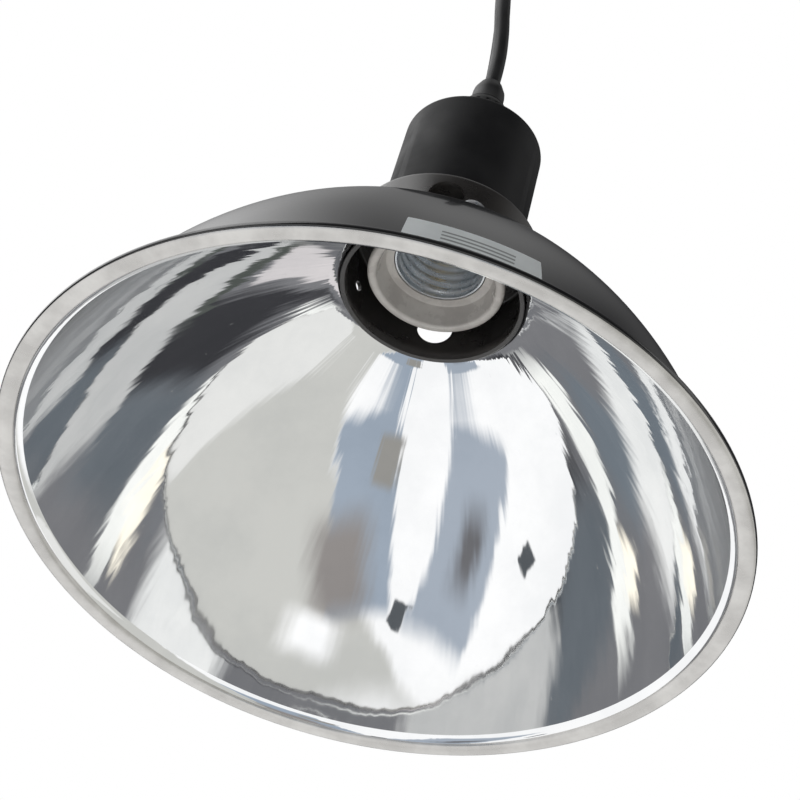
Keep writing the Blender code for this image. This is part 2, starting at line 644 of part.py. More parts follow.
cover_z = SWITCH_BASE_H + GAP
cover_top = cover_z + SWITCH_COVER_H
cord_z = SWITCH_BASE_H + GAP / 2
cavity_l = SWITCH_L - 2 * SWITCH_END
base = block("switch_base", (SWITCH_W, SWITCH_L, SWITCH_BASE_H),
             (SWITCH_X, SWITCH_Y, SWITCH_BASE_H / 2), NYLON, bevel=1.2)
cut(base, block("base_cavity", (SWITCH_W - 2 * SWITCH_WALL, cavity_l, SWITCH_BASE_H),
                (SWITCH_X, SWITCH_Y, SWITCH_BASE_H / 2 + SWITCH_WALL), group=cutters))
cover = block("switch_cover", (SWITCH_W, SWITCH_L, SWITCH_COVER_H),
              (SWITCH_X, SWITCH_Y, cover_z + SWITCH_COVER_H / 2), NYLON, bevel=1.8)
cut(cover, block("cover_cavity", (SWITCH_W - 2 * SWITCH_WALL, cavity_l, SWITCH_COVER_H),
                 (SWITCH_X, SWITCH_Y, cover_z + SWITCH_COVER_H / 2 - SWITCH_WALL), group=cutters))
cut(cover, block("rocker_window", (ROCKER_W + 0.9, ROCKER_L + 1.8, 8),
                 (SWITCH_X, SWITCH_Y, cover_top), group=cutters))
for side in (-1, 1):
    lug = block("pivot_lug_%d" % (side + 1), (2.4, 6, 6.4),
                (SWITCH_X + side * (ROCKER_W / 2 + 0.45 + 1.2), SWITCH_Y, cover_top - 3.5),
                group=cutters)
    join(cover, lug)
pivot_z = cover_top - 3.6
pivot_hole = pin("pivot_cut", ROCKER_PIN_R + GAP, -ROCKER_W / 2 - 2.2, ROCKER_W / 2 + 2.2,
                 steps=16, group=cutters)
cut(cover, place(pivot_hole, SWITCH_X, SWITCH_Y, pivot_z, turn=(0, 90, 0)))
for k, side in enumerate((-1, 1)):
    y = SWITCH_Y + side * SWITCH_SCREW_Y
    cut(base, place(pin("base_screw_cut_%d" % k, 1.5, -1, SWITCH_BASE_H + 1, steps=12,
                        group=cutters), SWITCH_X, y))
    cut(base, place(pin("base_head_cut_%d" % k, 2.9, -1, 2.2, steps=16, group=cutters),
                    SWITCH_X, y))
    cut(cover, place(pin("cover_screw_cut_%d" % k, 1.5, cover_z - 1, cover_z + 6, steps=12,
                         group=cutters), SWITCH_X, y))
    place(pin("switch_screw_%d" % (k + 1), 1.2, 1.9, cover_z + 5.4, STEEL, steps=12,
              head=(2.5, 1.6, False)), SWITCH_X, y)

rocker_pivot = bpy.data.objects.new("rocker_pivot", None)
parts.objects.link(rocker_pivot)
place(rocker_pivot, SWITCH_X, SWITCH_Y, pivot_z, turn=(-ROCKER_TILT, 0, 0))
rocker = block("switch_rocker", (ROCKER_W, ROCKER_L, ROCKER_H), (0, 0, 1.4), NYLON, bevel=0.8)
rocker.parent = rocker_pivot
rod = place(pin("rocker_pin", ROCKER_PIN_R, -ROCKER_W / 2 - 1.8, ROCKER_W / 2 + 1.8, steps=16,
                group=cutters), turn=(0, 90, 0))
rod.parent = rocker_pivot
join(rocker, rod)

# ---------------------------------------------------------------- free cord

switch_in = SWITCH_Y + SWITCH_L / 2 + GAP
switch_out = SWITCH_Y - SWITCH_L / 2 - GAP
tube("cord_lead_lamp", [(0, 0, cord_exit)] + LAMP_LEAD + [(SWITCH_X, switch_in, cord_z)],
     CORD_D, CORD_SKIN, ((0, 0, 1), (0, -1, 0)))

coil_out = COIL_R + COIL_W / 2
coil_z = TIE_T + GAP


def oval(a, half):
    return half * math.copysign(abs(a) ** 0.7, a)


corner = [2 * math.pi * (k + 0.5) / 8 for k in range(8)]
section = [(COIL_R + oval(math.sin(a), COIL_W / 2), coil_z + COIL_H / 2 + oval(math.cos(a), COIL_H / 2))
           for a in corner]
place(turned("cord_coil", section, CORD_SKIN, 24), COIL_X, COIL_Y)
turn_r = COIL_R + TURN_PITCH           # the outer turns, where the cord comes and goes
low_turn = coil_z + COIL_H / 2 - TURN_PITCH / 2
high_turn = low_turn + TURN_PITCH
reach = math.sqrt(coil_out ** 2 - (turn_r - CORD_D / 2) ** 2) + GAP
tube("cord_lead_switch", [(SWITCH_X, switch_out, cord_z)] + SWITCH_LEAD
     + [(COIL_X - turn_r, COIL_Y - reach, low_turn)], CORD_D, CORD_SKIN,
     ((0, -1, 0), (0, 1, 0)))
leave = math.radians(LEAVE_AT)
start = (COIL_X + turn_r * math.cos(leave) + reach * math.sin(leave),
         COIL_Y + turn_r * math.sin(leave) - reach * math.cos(leave), high_turn)
plug_z = PLUG_H / 2
tube("cord_lead_plug", [start] + PLUG_LEAD + [(PLUG_X, PLUG_Y + GAP, plug_z)],
     CORD_D, CORD_SKIN, ((math.sin(leave), -math.cos(leave), 0), (0, -1, 0)), step=6.0)

# ---------------------------------------------------------------- tie round the coil

tie_frame = bpy.data.objects.new("tie_frame", None)
parts.objects.link(tie_frame)
place(tie_frame, COIL_X + COIL_R * math.cos(math.radians(TIE_AT)),
      COIL_Y + COIL_R * math.sin(math.radians(TIE_AT)), 0, turn=(0, 0, TIE_AT))
curve_rise = coil_out - math.sqrt(coil_out ** 2 - (TIE_W / 2) ** 2)
tie_in = COIL_W + 2 * (GAP + curve_rise)
tie_h = COIL_H + 2 * GAP
tie = block("cord_tie", (tie_in + 2 * TIE_T, TIE_W, tie_h + 2 * TIE_T),
            (0, 0, tie_h / 2 + TIE_T), RUBBER)
tie_window = block("tie_window", (tie_in, TIE_W + 4, tie_h), (0, 0, tie_h / 2 + TIE_T),
                   group=cutters)
tie.parent = tie_window.parent = tie_frame
cut(tie, tie_window)

# ---------------------------------------------------------------- plug

relief_low = PLUG_Y - RELIEF_L
relief = [(0, RELIEF_L), (RELIEF_R0 - 0.5, RELIEF_L), (RELIEF_R0, RELIEF_L - 0.8),
          (RELIEF_R1, 0), (0, 0)]
place(turned("plug_relief", relief, RUBBER, 16, closed=False), PLUG_X, relief_low, plug_z,
      turn=(-90, 0, 0))
body_y = relief_low - GAP - PLUG_L / 2
plug = block("plug_body", (PLUG_W, PLUG_L, PLUG_H), (PLUG_X, body_y, plug_z), NYLON, bevel=3.0,
             segments=3)
face_y = body_y - PLUG_L / 2
for k, side in enumerate((-1, 1)):
    x = PLUG_X + side * BLADE_PITCH / 2
    # The blades stand on edge, so their wide sides face each other across the pitch.
    cut(plug, block("blade_slot_%d" % k, (BLADE_T + 2 * GAP, 2 * BLADE_IN, BLADE_W + 2 * GAP),
                    (x, face_y, plug_z), group=cutters))
    inside = BLADE_IN - GAP
    blade = block("plug_blade_%d" % (k + 1), (BLADE_T, BLADE_L + inside, BLADE_W),
                  (x, face_y + inside - (BLADE_L + inside) / 2, plug_z), BRASS, bevel=0.3,
                  segments=1)
    hole = pin("blade_hole_%d" % k, 1.6, -3, 3, steps=12, group=cutters)
    cut(blade, place(hole, x, face_y - BLADE_L + 3.6, plug_z, turn=(0, 90, 0)))
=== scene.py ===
"""Heat lamp fixture: fine shapes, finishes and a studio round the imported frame.

Metres, +Z up.  The lamp stands on its rim and opens downwards; -Y is the side with the
rating label, and the free cord lies on the -X side.
"""
import math

import bpy
from mathutils import Matrix, Vector


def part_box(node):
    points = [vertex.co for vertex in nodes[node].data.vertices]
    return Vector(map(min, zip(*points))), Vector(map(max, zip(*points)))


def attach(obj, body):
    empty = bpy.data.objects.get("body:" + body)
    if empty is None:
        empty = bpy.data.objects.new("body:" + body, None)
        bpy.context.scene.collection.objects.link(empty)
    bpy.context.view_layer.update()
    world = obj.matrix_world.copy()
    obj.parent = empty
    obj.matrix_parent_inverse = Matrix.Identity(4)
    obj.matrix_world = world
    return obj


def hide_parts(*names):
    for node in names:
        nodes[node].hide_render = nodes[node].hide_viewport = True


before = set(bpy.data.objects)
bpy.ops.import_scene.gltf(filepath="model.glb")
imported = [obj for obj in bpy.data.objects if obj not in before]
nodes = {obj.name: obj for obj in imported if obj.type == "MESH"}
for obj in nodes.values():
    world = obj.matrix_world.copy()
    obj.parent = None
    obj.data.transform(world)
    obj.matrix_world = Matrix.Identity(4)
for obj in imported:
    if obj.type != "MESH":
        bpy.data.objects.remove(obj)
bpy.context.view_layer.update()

MM = 0.001
GAP = 0.3

# reflector wall: an outer outline of two arcs and a cone, in millimetres and degrees
RIM_R, BEAD_W, BEAD_H = 108.0, 5.4, 3.1
WALL_R = RIM_R - BEAD_W - 1.1
LEAN_RIM, LEAN_MID, LEAN_CONE = (math.radians(a) for a in (17.4, 25.8, 55.6))
ARC_LOW, ARC_HIGH = 180.0, 141.0
DOME_WALL = 1.0
HOLE_R = 27.8

# neck, cap and socket
NECK_R, NECK_WALL, NECK_TOP = 29.5, 1.2, 115.3
SPIGOT_R, SPIGOT_H = 20.9, 5.7
VENT_R, VENT_Z, VENT_AZ, VENT_COUNT = 5.5, 105.2, -8.0, 2
SIDE_HOLE_R, SIDE_HOLE_Z, SIDE_HOLE_AZ = 1.7, 104.0, -127.0
NECK_SCREW_AZ, NECK_SCREW_Z, NECK_SCREW_HEAD_R = 9.6, 100.5, 4.0
CAP_R, CAP_TOP_R, CAP_WALL, CAP_EDGE = 22.6, 22.1, 1.4, 2.0
CAP_SCREW_UP = 2.8
CAP_SCREW_AZ = (60, 180, 300)
CAP_SCREW_BORE_R, NECK_SCREW_BORE_R = 1.6, 2.3
LIP_Z, LIP_H, LIP_R, LIP_BORE_R = 97.3, 3.7, 21.4, 18.4
WELL_R, WELL_Z, BODY_R, HEAD_R, HEAD_H = 17.2, 104.9, 19.3, 17.0, 6.0
SHELL_R, SHELL_WALL, SHELL_WAVE, THREAD_PITCH = 14.1, 0.5, 0.7, 3.63
FLOOR_T, CORE_HOLE_R, RIVET_BORE_R, RIVET_Y = 8.0, 1.6, 1.5, -10.9

# cord grip
GRIP_AF, GRIP_HEX_H, GRIP_NECK_R, GRIP_BORE_R = 17.0, 5.2, 6.6, 5.2
GRIP_NUT_R, GRIP_WAIST_R, GRIP_MOUTH_R, GRIP_TAPER_H, GRIP_FLUTES = 8.2, 5.3, 3.3, 11.5, 16

# label: azimuths and heights of its edges, and its film
LABEL_AZ0, LABEL_AZ1, LABEL_Z0, LABEL_Z1 = -7.0, 15.2, 7.5, 22.6
LABEL_UP, LABEL_T = 0.12, 0.16

# cord, switch, coil and plug
CORD_D = 5.2
SWITCH_X, SWITCH_Y, SWITCH_L = -134.0, -50.0, 60.0
SWITCH_WALL, SWITCH_END, SWITCH_SCREW_Y, SWITCH_JOIN = 2.0, 14.0, 24.0, 5.95
ROCKER_WINDOW = (10.3, 16.6, 8)
COIL_X, COIL_Y, COIL_R, TURN_PITCH = -165.0, 68.0, 28.0, 5.5
COIL_LOW = 4.2
LEAVE_AT = -30.0
TIE_AT, TIE_W, TIE_T = 75.0, 8.0, 0.9
PLUG_X, PLUG_Y, PLUG_Z = -163.0, 1.0, 7.5
RELIEF_R0, RELIEF_R1 = 3.7, 5.4

LAMP_LEAD = [
    (0, 0, 201), (-0.4, 0, 210), (-1.6, 0, 221), (-3.4, 0.4, 233), (-4.6, 2.8, 244.5),
    (-4.9, 9, 254.2), (-4, 18.5, 260.7), (-2.4, 30, 263), (-0.9, 41.5, 260.7), (0.1, 51.2, 254.2),
    (0.5, 57.6, 244.5), (0.4, 60.4, 232), (-0.3, 61.8, 215), (-2.2, 62.6, 196), (-6, 63.6, 174),
    (-13, 64.6, 149), (-23, 64.8, 125), (-36, 62.8, 101), (-51, 57.6, 77.5), (-68, 49.5, 55.5),
    (-85, 38.5, 35), (-102, 26, 18), (-116, 13.5, 7.2), (-127, 2.5, 3.6), (-132.4, -7.5, 4.6)]
SWITCH_LEAD = [(-134, -90, 4.6), (-136, -103, 2.9), (-143, -114.5, 2.6), (-154.5, -121, 2.6),
               (-168, -121, 2.6), (-180.5, -114.5, 2.6), (-189.5, -103, 2.6), (-194.5, -87, 2.6),
               (-197, -66, 2.6), (-198.3, -42, 2.6), (-198.8, -16, 2.7), (-198.6, 12, 3.1),
               (-198.5, 30, 3.6)]
PLUG_LEAD = [(-149.6, 27.3, 9.7), (-155.6, 17.2, 8.6), (-160.3, 9.2, 7.8)]


# ---------------------------------------------------------------- camera

def make_camera():
    camera = bpy.data.objects.new("camera", bpy.data.cameras.new("camera"))
    bpy.context.scene.collection.objects.link(camera)
    right = Vector((0.96150, -0.18662, 0.20174))
    up = Vector((-0.27482, -0.65293, 0.70581))
    turn = Matrix((right, up, right.cross(up))).transposed().to_4x4()
    camera.matrix_world = Matrix.Translation((-0.00051, -0.55488, -0.46667)) @ turn
    camera.data.lens = 117
    camera.data.clip_start = 0.01
    bpy.context.scene.camera = camera


# ---------------------------------------------------------------- modelling helpers

def pick_nothing():
    if bpy.context.mode != "OBJECT":
        bpy.ops.object.mode_set(mode="OBJECT")
    bpy.ops.object.select_all(action="DESELECT")


def take(name):
    obj = bpy.context.object
    obj.name = obj.data.name = name
    return obj


def settle(obj):
    """Put the object's place and turn into its mesh."""
    pick_nothing()
    bpy.context.view_layer.objects.active = obj
    obj.select_set(True)
    bpy.ops.object.transform_apply(location=True, rotation=True, scale=True)


def smooth(obj, angle=32):
    pick_nothing()
    bpy.context.view_layer.objects.active = obj
    obj.select_set(True)
    bpy.ops.object.shade_smooth_by_angle(angle=math.radians(angle))


def spun(name, outline, steps=96, angle=32):
    """Extrude a vertex along an (r, z) outline in millimetres and spin it about Z."""
    pick_nothing()
    bpy.ops.mesh.primitive_plane_add(size=0.001)
    obj = take(name)
    bpy.ops.object.mode_set(mode="EDIT")
    bpy.ops.mesh.select_all(action="SELECT")
    bpy.ops.mesh.merge(type="CENTER")
    bpy.ops.transform.translate(value=(outline[0][0] * MM, 0, outline[0][1] * MM))
    for (r0, z0), (r1, z1) in zip(outline, outline[1:]):
        bpy.ops.mesh.extrude_region_move(
            TRANSFORM_OT_translate={"value": ((r1 - r0) * MM, 0, (z1 - z0) * MM)})
    bpy.ops.mesh.select_all(action="SELECT")
    bpy.ops.mesh.spin(steps=steps, angle=2 * math.pi, center=(0, 0, 0), axis=(0, 0, 1))
    bpy.ops.mesh.select_all(action="SELECT")
    bpy.ops.mesh.remove_doubles(threshold=2e-6)
    bpy.ops.mesh.normals_make_consistent(inside=False)
    bpy.ops.object.mode_set(mode="OBJECT")
    smooth(obj, angle)
    return obj


def slab(name, size, centre, bevel, segments=4):
    """A box with rounded edges, in millimetres."""
    pick_nothing()
    bpy.ops.mesh.primitive_cube_add(size=1, location=[c * MM for c in centre],
                                    scale=[s * MM for s in size])
    obj = take(name)
    settle(obj)
    bpy.ops.object.mode_set(mode="EDIT")
    bpy.ops.mesh.select_all(action="SELECT")
    bpy.ops.mesh.bevel(offset=bevel * MM, segments=segments, affect="EDGES")
    bpy.ops.object.mode_set(mode="OBJECT")
    smooth(obj, 40)
    return obj


def rod(name, radius, depth, centre, turn=(0, 0, 0), sides=48):
    pick_nothing()
    bpy.ops.mesh.primitive_cylinder_add(vertices=sides, radius=radius * MM, depth=depth * MM,
                                        location=[c * MM for c in centre], rotation=turn)
    obj = take(name)
    settle(obj)
    return obj


def apply_modifier(obj, mod):
    pick_nothing()
    bpy.context.view_layer.objects.active = obj
    obj.select_set(True)
    bpy.ops.object.modifier_apply(modifier=mod.name)


def carve(obj, tool, operation="DIFFERENCE"):
    mod = obj.modifiers.new("carve", "BOOLEAN")
    mod.object = tool
    mod.operation = operation
    mod.solver = "EXACT"
    apply_modifier(obj, mod)
    bpy.data.objects.remove(tool, do_unlink=True)


def around(azimuth, radius, height):
    """A point at an azimuth in degrees, 0 at -Y and turning towards +X."""
    a = math.radians(azimuth)
    return Vector((radius * math.sin(a), -radius * math.cos(a), height))


def face_out(obj, azimuth, radius, height):
    """Lay a piece made along Z so that its +Z points outwards at an azimuth."""
    obj.location = around(azimuth, radius, height) * MM
    obj.rotation_euler = (math.pi / 2, 0, math.radians(azimuth))
    settle(obj)
    return obj


def arc(cr, cz, r, start, stop, count):
    """Points of an arc round (cr, cz), with its angles in degrees from +r towards +z."""
    angles = [math.radians(start + (stop - start) * k / count) for k in range(count + 1)]
    return [(cr + r * math.cos(a), cz + r * math.sin(a)) for a in angles]


def fit(piece, body, slot, *replaced):
    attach(piece, body)
    if replaced:
        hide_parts(*replaced)
    return piece


def paint(piece, *mats):
    piece.data.materials.clear()
    for mat in mats:
        piece.data.materials.append(mat)
    return piece


def complete(piece, mat, slot, node, angle=35):
    """Smooth and colour a piece of the lamp that stands in for a CAD node."""
    smooth(piece, angle)
    paint(piece, mat)
    return fit(piece, "lamp", slot, node)


def box_of(node):
    """The size and the middle of a CAD node, in millimetres."""
    low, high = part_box(node)
    return (high - low) / MM, (high + low) / 2 / MM


# ---------------------------------------------------------------- node groups and finishes

def new_group(name, inputs):
    """A shader group with number inputs, and a Mask and a Height out."""
    group = bpy.data.node_groups.new(name, "ShaderNodeTree")
    for label, value in inputs:
        socket = group.interface.new_socket(label, in_out="INPUT", socket_type="NodeSocketFloat")
        socket.default_value = value
    for label in ("Mask", "Height"):
        group.interface.new_socket(label, in_out="OUTPUT", socket_type="NodeSocketFloat")
    return group, group.nodes.new("NodeGroupInput"), group.nodes.new("NodeGroupOutput")


def put(tree, kind, links=()):
    """Add a node and link sockets into it."""
    node = tree.nodes.new("ShaderNode" + kind)
    for target, source in dict(links).items():
        tree.links.new(source, node.inputs[target])
    return node


def feed(tree, socket, value):
    """Set a socket to a plain value, or link another socket into it."""
    if isinstance(value, bpy.types.NodeSocket):
        tree.links.new(value, socket)
    else:
        socket.default_value = value


def maths(tree, operation, a, b=0.0):
    node = put(tree, "Math")
    node.operation = operation
    feed(tree, node.inputs[0], a)
    feed(tree, node.inputs[1], b)
    return node.outputs[0]


def blend(tree, factor, a, b):
    """Mix two colours, each a triple or a socket."""
    node = put(tree, "Mix")
    node.data_type = "RGBA"
    for name, value in (("Factor", factor), ("A", a), ("B", b)):
        feed(tree, node.inputs[name], (*value, 1) if isinstance(value, tuple) else value)
    return node.outputs["Result"]


def ramp(tree, value, low, high, out_low=0.0, out_high=1.0, soft=True):
    node = tree.nodes.new("ShaderNodeMapRange")
    node.interpolation_type = "SMOOTHSTEP" if soft else "LINEAR"
    for name, number in (("From Min", low), ("From Max", high), ("To Min", out_low),
                         ("To Max", out_high)):
        node.inputs[name].default_value = number
    tree.links.new(value, node.inputs["Value"])
    return node.outputs["Result"]


def noise(tree, vector, scale, detail=4.0, rough=0.55):
    node = put(tree, "TexNoise", {"Vector": vector})
    feed(tree, node.inputs["Scale"], scale)
    node.inputs["Detail"].default_value = detail
    node.inputs["Roughness"].default_value = rough
    return node.outputs["Fac"]


def grain_group():
    """Moulded or powder-coated grain: broad clouds for the mask, fine pits for the height."""
    group, inside, out = new_group("moulded_grain", [("Scale", 900.0), ("Cloud Scale", 40.0)])
    place = put(group, "TexCoord").outputs["Object"]
    pits = noise(group, place, inside.outputs["Scale"], 3, 0.6)
    clouds = noise(group, place, inside.outputs["Cloud Scale"], 5, 0.6)
    group.links.new(ramp(group, clouds, 0.35, 0.68), out.inputs["Mask"])
    group.links.new(pits, out.inputs["Height"])
    return group


def turning_group():
    """Fine lines that run round the lamp's axis, as left by a spinning or turning tool."""
    group, inside, out = new_group("turning_lines", [("Lines", 2200.0), ("Cloud Scale", 35.0)])
    place = put(group, "TexCoord").outputs["Object"]
    split = put(group, "SeparateXYZ", {"Vector": place})
    r2 = maths(group, "ADD", maths(group, "MULTIPLY", split.outputs["X"], split.outputs["X"]),
               maths(group, "MULTIPLY", split.outputs["Y"], split.outputs["Y"]))
    radius = maths(group, "SQRT", r2)
    along = maths(group, "ADD", radius, split.outputs["Z"])
    row = put(group, "CombineXYZ", {"X": maths(group, "MULTIPLY", along, inside.outputs["Lines"]),
                                    "Y": maths(group, "MULTIPLY", split.outputs["X"], 14.0),
                                    "Z": maths(group, "MULTIPLY", split.outputs["Y"], 14.0)})
    lines = noise(group, row.outputs[0], 1.0, 3, 0.6)
    clouds = noise(group, place, inside.outputs["Cloud Scale"], 5, 0.6)
    group.links.new(ramp(group, clouds, 0.35, 0.68), out.inputs["Mask"])
    group.links.new(lines, out.inputs["Height"])
    return group


GRAIN = grain_group()
TURNING = turning_group()


def finish(name, colours, roughs, metal=0.0, bump=0.1, depth=0.00003, group=GRAIN,
           fine=900.0, cloud=40.0, coat=0.0, coat_rough=0.1, specular=0.5):
    """A finish that wanders between two colours and two roughnesses over a fine grain."""
    mat = bpy.data.materials.new(name)
    mat.use_nodes = True
    tree = mat.node_tree
    shader = tree.nodes["Principled BSDF"]
    pattern = tree.nodes.new("ShaderNodeGroup")
    pattern.node_tree = group
    pattern.inputs[0].default_value = fine
    pattern.inputs[1].default_value = cloud
    tree.links.new(blend(tree, pattern.outputs["Mask"], *colours), shader.inputs["Base Color"])
    tree.links.new(ramp(tree, pattern.outputs["Mask"], 0, 1, roughs[0], roughs[1], soft=False),
                   shader.inputs["Roughness"])
    lift = put(tree, "Bump", {"Height": pattern.outputs["Height"]})
    lift.inputs["Strength"].default_value = bump
    lift.inputs["Distance"].default_value = depth
    tree.links.new(lift.outputs["Normal"], shader.inputs["Normal"])
    shader.inputs["Metallic"].default_value = metal
    shader.inputs["Coat Weight"].default_value = coat
    shader.inputs["Coat Roughness"].default_value = coat_rough
    shader.inputs["Specular IOR Level"].default_value = specular
    return mat


def mirror_finish():
    """Buffed aluminium: radial polishing lines, shallow crinkles and a few scratches."""
    mat = bpy.data.materials.new("buffed_aluminium")
    mat.use_nodes = True
    tree = mat.node_tree
    shader = tree.nodes["Principled BSDF"]
    place = put(tree, "TexCoord").outputs["Object"]
    split = put(tree, "SeparateXYZ", {"Vector": place})
    x, y, z = (split.outputs[k] for k in "XYZ")
    radius = maths(tree, "SQRT", maths(tree, "ADD", maths(tree, "MULTIPLY", x, x),
                                       maths(tree, "MULTIPLY", y, y)))
    turn_x = maths(tree, "DIVIDE", x, radius)
    turn_y = maths(tree, "DIVIDE", y, radius)

    def fan(across, along):
        """A place on the wall, drawn out along its slope."""
        return put(tree, "CombineXYZ", {"X": maths(tree, "MULTIPLY", turn_x, across),
                                        "Y": maths(tree, "MULTIPLY", turn_y, across),
                                        "Z": maths(tree, "MULTIPLY", z, along)}).outputs[0]

    lines = noise(tree, fan(160.0, 9.0), 1.0, 3, 0.6)
    crinkle = noise(tree, fan(7.0, 14.0), 1.0, 3, 0.5)
    dents = noise(tree, place, 28.0, 2, 0.4)
    clouds = noise(tree, place, 22.0, 5, 0.6)
    scratch = ramp(tree, noise(tree, fan(38.0, 160.0), 1.0, 6, 0.7), 0.70, 0.76)
    tree.links.new(blend(tree, ramp(tree, clouds, 0.35, 0.65), (0.86, 0.87, 0.88),
                         (0.95, 0.955, 0.96)), shader.inputs["Base Color"])
    tree.links.new(maths(tree, "ADD", ramp(tree, clouds, 0.3, 0.7, 0.02, 0.045),
                         maths(tree, "MULTIPLY", scratch, 0.12)), shader.inputs["Roughness"])
    height = maths(tree, "ADD", maths(tree, "MULTIPLY", lines, 0.002),
                   maths(tree, "ADD", maths(tree, "MULTIPLY", crinkle, 0.22),
                         maths(tree, "ADD", maths(tree, "MULTIPLY", dents, 0.35),
                               maths(tree, "MULTIPLY", scratch, 0.02))))
    lift = put(tree, "Bump", {"Height": height})
    lift.inputs["Strength"].default_value = 1.0
    lift.inputs["Distance"].default_value = 0.0006
    tree.links.new(lift.outputs["Normal"], shader.inputs["Normal"])
    # Light that has already crossed the bowl several times leaves it as an even glow.
    late = maths(tree, "GREATER_THAN", put(tree, "LightPath").outputs["Glossy Depth"], 2.5)
    tree.links.new(maths(tree, "SUBTRACT", 1.0, late), shader.inputs["Metallic"])
    return mat


BUFFED = mirror_finish()
BEAD_METAL = finish("satin_rim_aluminium", ((0.50, 0.49, 0.475), (0.66, 0.65, 0.63)), (0.26, 0.40),
                    metal=1.0, bump=0.35, depth=0.00004, group=TURNING, fine=1500.0, cloud=60.0)
ENAMEL = finish("gloss_black_enamel", ((0.012, 0.012, 0.013), (0.017, 0.017, 0.018)),
                (0.10, 0.16), bump=0.06, depth=0.00005, fine=380.0, cloud=30.0, coat=0.6,
                coat_rough=0.06)
POWDER = finish("matt_black_powder", ((0.007, 0.007, 0.008), (0.012, 0.012, 0.013)),
                (0.45, 0.58), bump=0.22, depth=0.00005, fine=1400.0, cloud=60.0,
                specular=0.3)
NECK_PAINT = finish("satin_black_paint", ((0.022, 0.020, 0.019), (0.036, 0.033, 0.031)),
                    (0.24, 0.34), bump=0.12, depth=0.00005, fine=900.0, cloud=50.0, coat=0.5,
                    coat_rough=0.15)
GLAZE = finish("glazed_porcelain", ((0.46, 0.43, 0.40), (0.60, 0.57, 0.53)), (0.22, 0.34),
               bump=0.12, depth=0.00006, fine=260.0, cloud=70.0, coat=0.3)
SHELL_METAL = finish("bright_shell", ((0.86, 0.91, 0.95), (0.95, 0.98, 1.0)), (0.24, 0.34),
                     metal=0.9, bump=0.2, group=TURNING, fine=2400.0, cloud=120.0)
ZINC = finish("bright_zinc", ((0.58, 0.60, 0.63), (0.76, 0.77, 0.79)), (0.18, 0.32), metal=1.0,
              bump=0.15, fine=1800.0, cloud=160.0)
BLACK_STEEL = finish("blackened_steel", ((0.02, 0.02, 0.02), (0.05, 0.05, 0.05)), (0.30, 0.45),
                     metal=0.6, bump=0.2, fine=1600.0, cloud=200.0)
BRASS = finish("plain_brass", ((0.62, 0.44, 0.19), (0.78, 0.60, 0.30)), (0.22, 0.38), metal=1.0,
               bump=0.15, fine=1500.0, cloud=150.0)
NYLON = finish("black_nylon", ((0.016, 0.016, 0.017), (0.026, 0.026, 0.027)), (0.36, 0.50),
               bump=0.25, depth=0.00005, fine=1500.0, cloud=90.0)
RUBBER = finish("black_rubber", ((0.020, 0.020, 0.020), (0.034, 0.033, 0.033)), (0.62, 0.80),
                bump=0.3, depth=0.00006, fine=1200.0, cloud=80.0)
JACKET = finish("cord_jacket", ((0.012, 0.012, 0.013), (0.020, 0.020, 0.021)), (0.34, 0.46),
                bump=0.2, depth=0.00004, fine=1100.0, cloud=60.0)
WIRE_DARK = finish("dark_wire", ((0.02, 0.02, 0.02), (0.03, 0.03, 0.03)), (0.4, 0.5))
WIRE_PALE = finish("pale_wire", ((0.70, 0.70, 0.68), (0.80, 0.80, 0.78)), (0.4, 0.5))
STRAP = finish("tie_strap", ((0.016, 0.016, 0.017), (0.05, 0.05, 0.05)), (0.80, 0.95), bump=0.8,
               depth=0.0002, fine=2600.0, cloud=1200.0)


def label_finish():
    """Silver film with plain dark bars where print would be."""
    mat = finish("label_film", ((0.70, 0.74, 0.75), (0.82, 0.86, 0.87)), (0.28, 0.38), bump=0.1,
                 fine=700.0, cloud=45.0)
    tree = mat.node_tree
    shader = tree.nodes["Principled BSDF"]
    base = shader.inputs["Base Color"].links[0].from_socket
    split = put(tree, "SeparateXYZ", {"Vector": put(tree, "TexCoord").outputs["Object"]})
    height = split.outputs["Z"]
    low, high, spacing = 0.0112, 0.0200, 0.0022
    row = maths(tree, "FRACT", maths(tree, "MULTIPLY", maths(tree, "SUBTRACT", height, low),
                                     1 / spacing))
    bar = maths(tree, "LESS_THAN", row, 0.42)
    rows = maths(tree, "MULTIPLY", maths(tree, "GREATER_THAN", height, low),
                 maths(tree, "LESS_THAN", height, high))
    sides = maths(tree, "MULTIPLY", maths(tree, "GREATER_THAN", split.outputs["X"], -0.002),
                  maths(tree, "LESS_THAN", split.outputs["X"], 0.0180))
    ink = maths(tree, "MULTIPLY", maths(tree, "MULTIPLY", bar, rows), sides)
    tree.links.new(blend(tree, maths(tree, "MULTIPLY", ink, 0.75), base, (0.05, 0.05, 0.05)),
                   shader.inputs["Base Color"])
    return mat


LABEL = label_finish()


# ---------------------------------------------------------------- cord

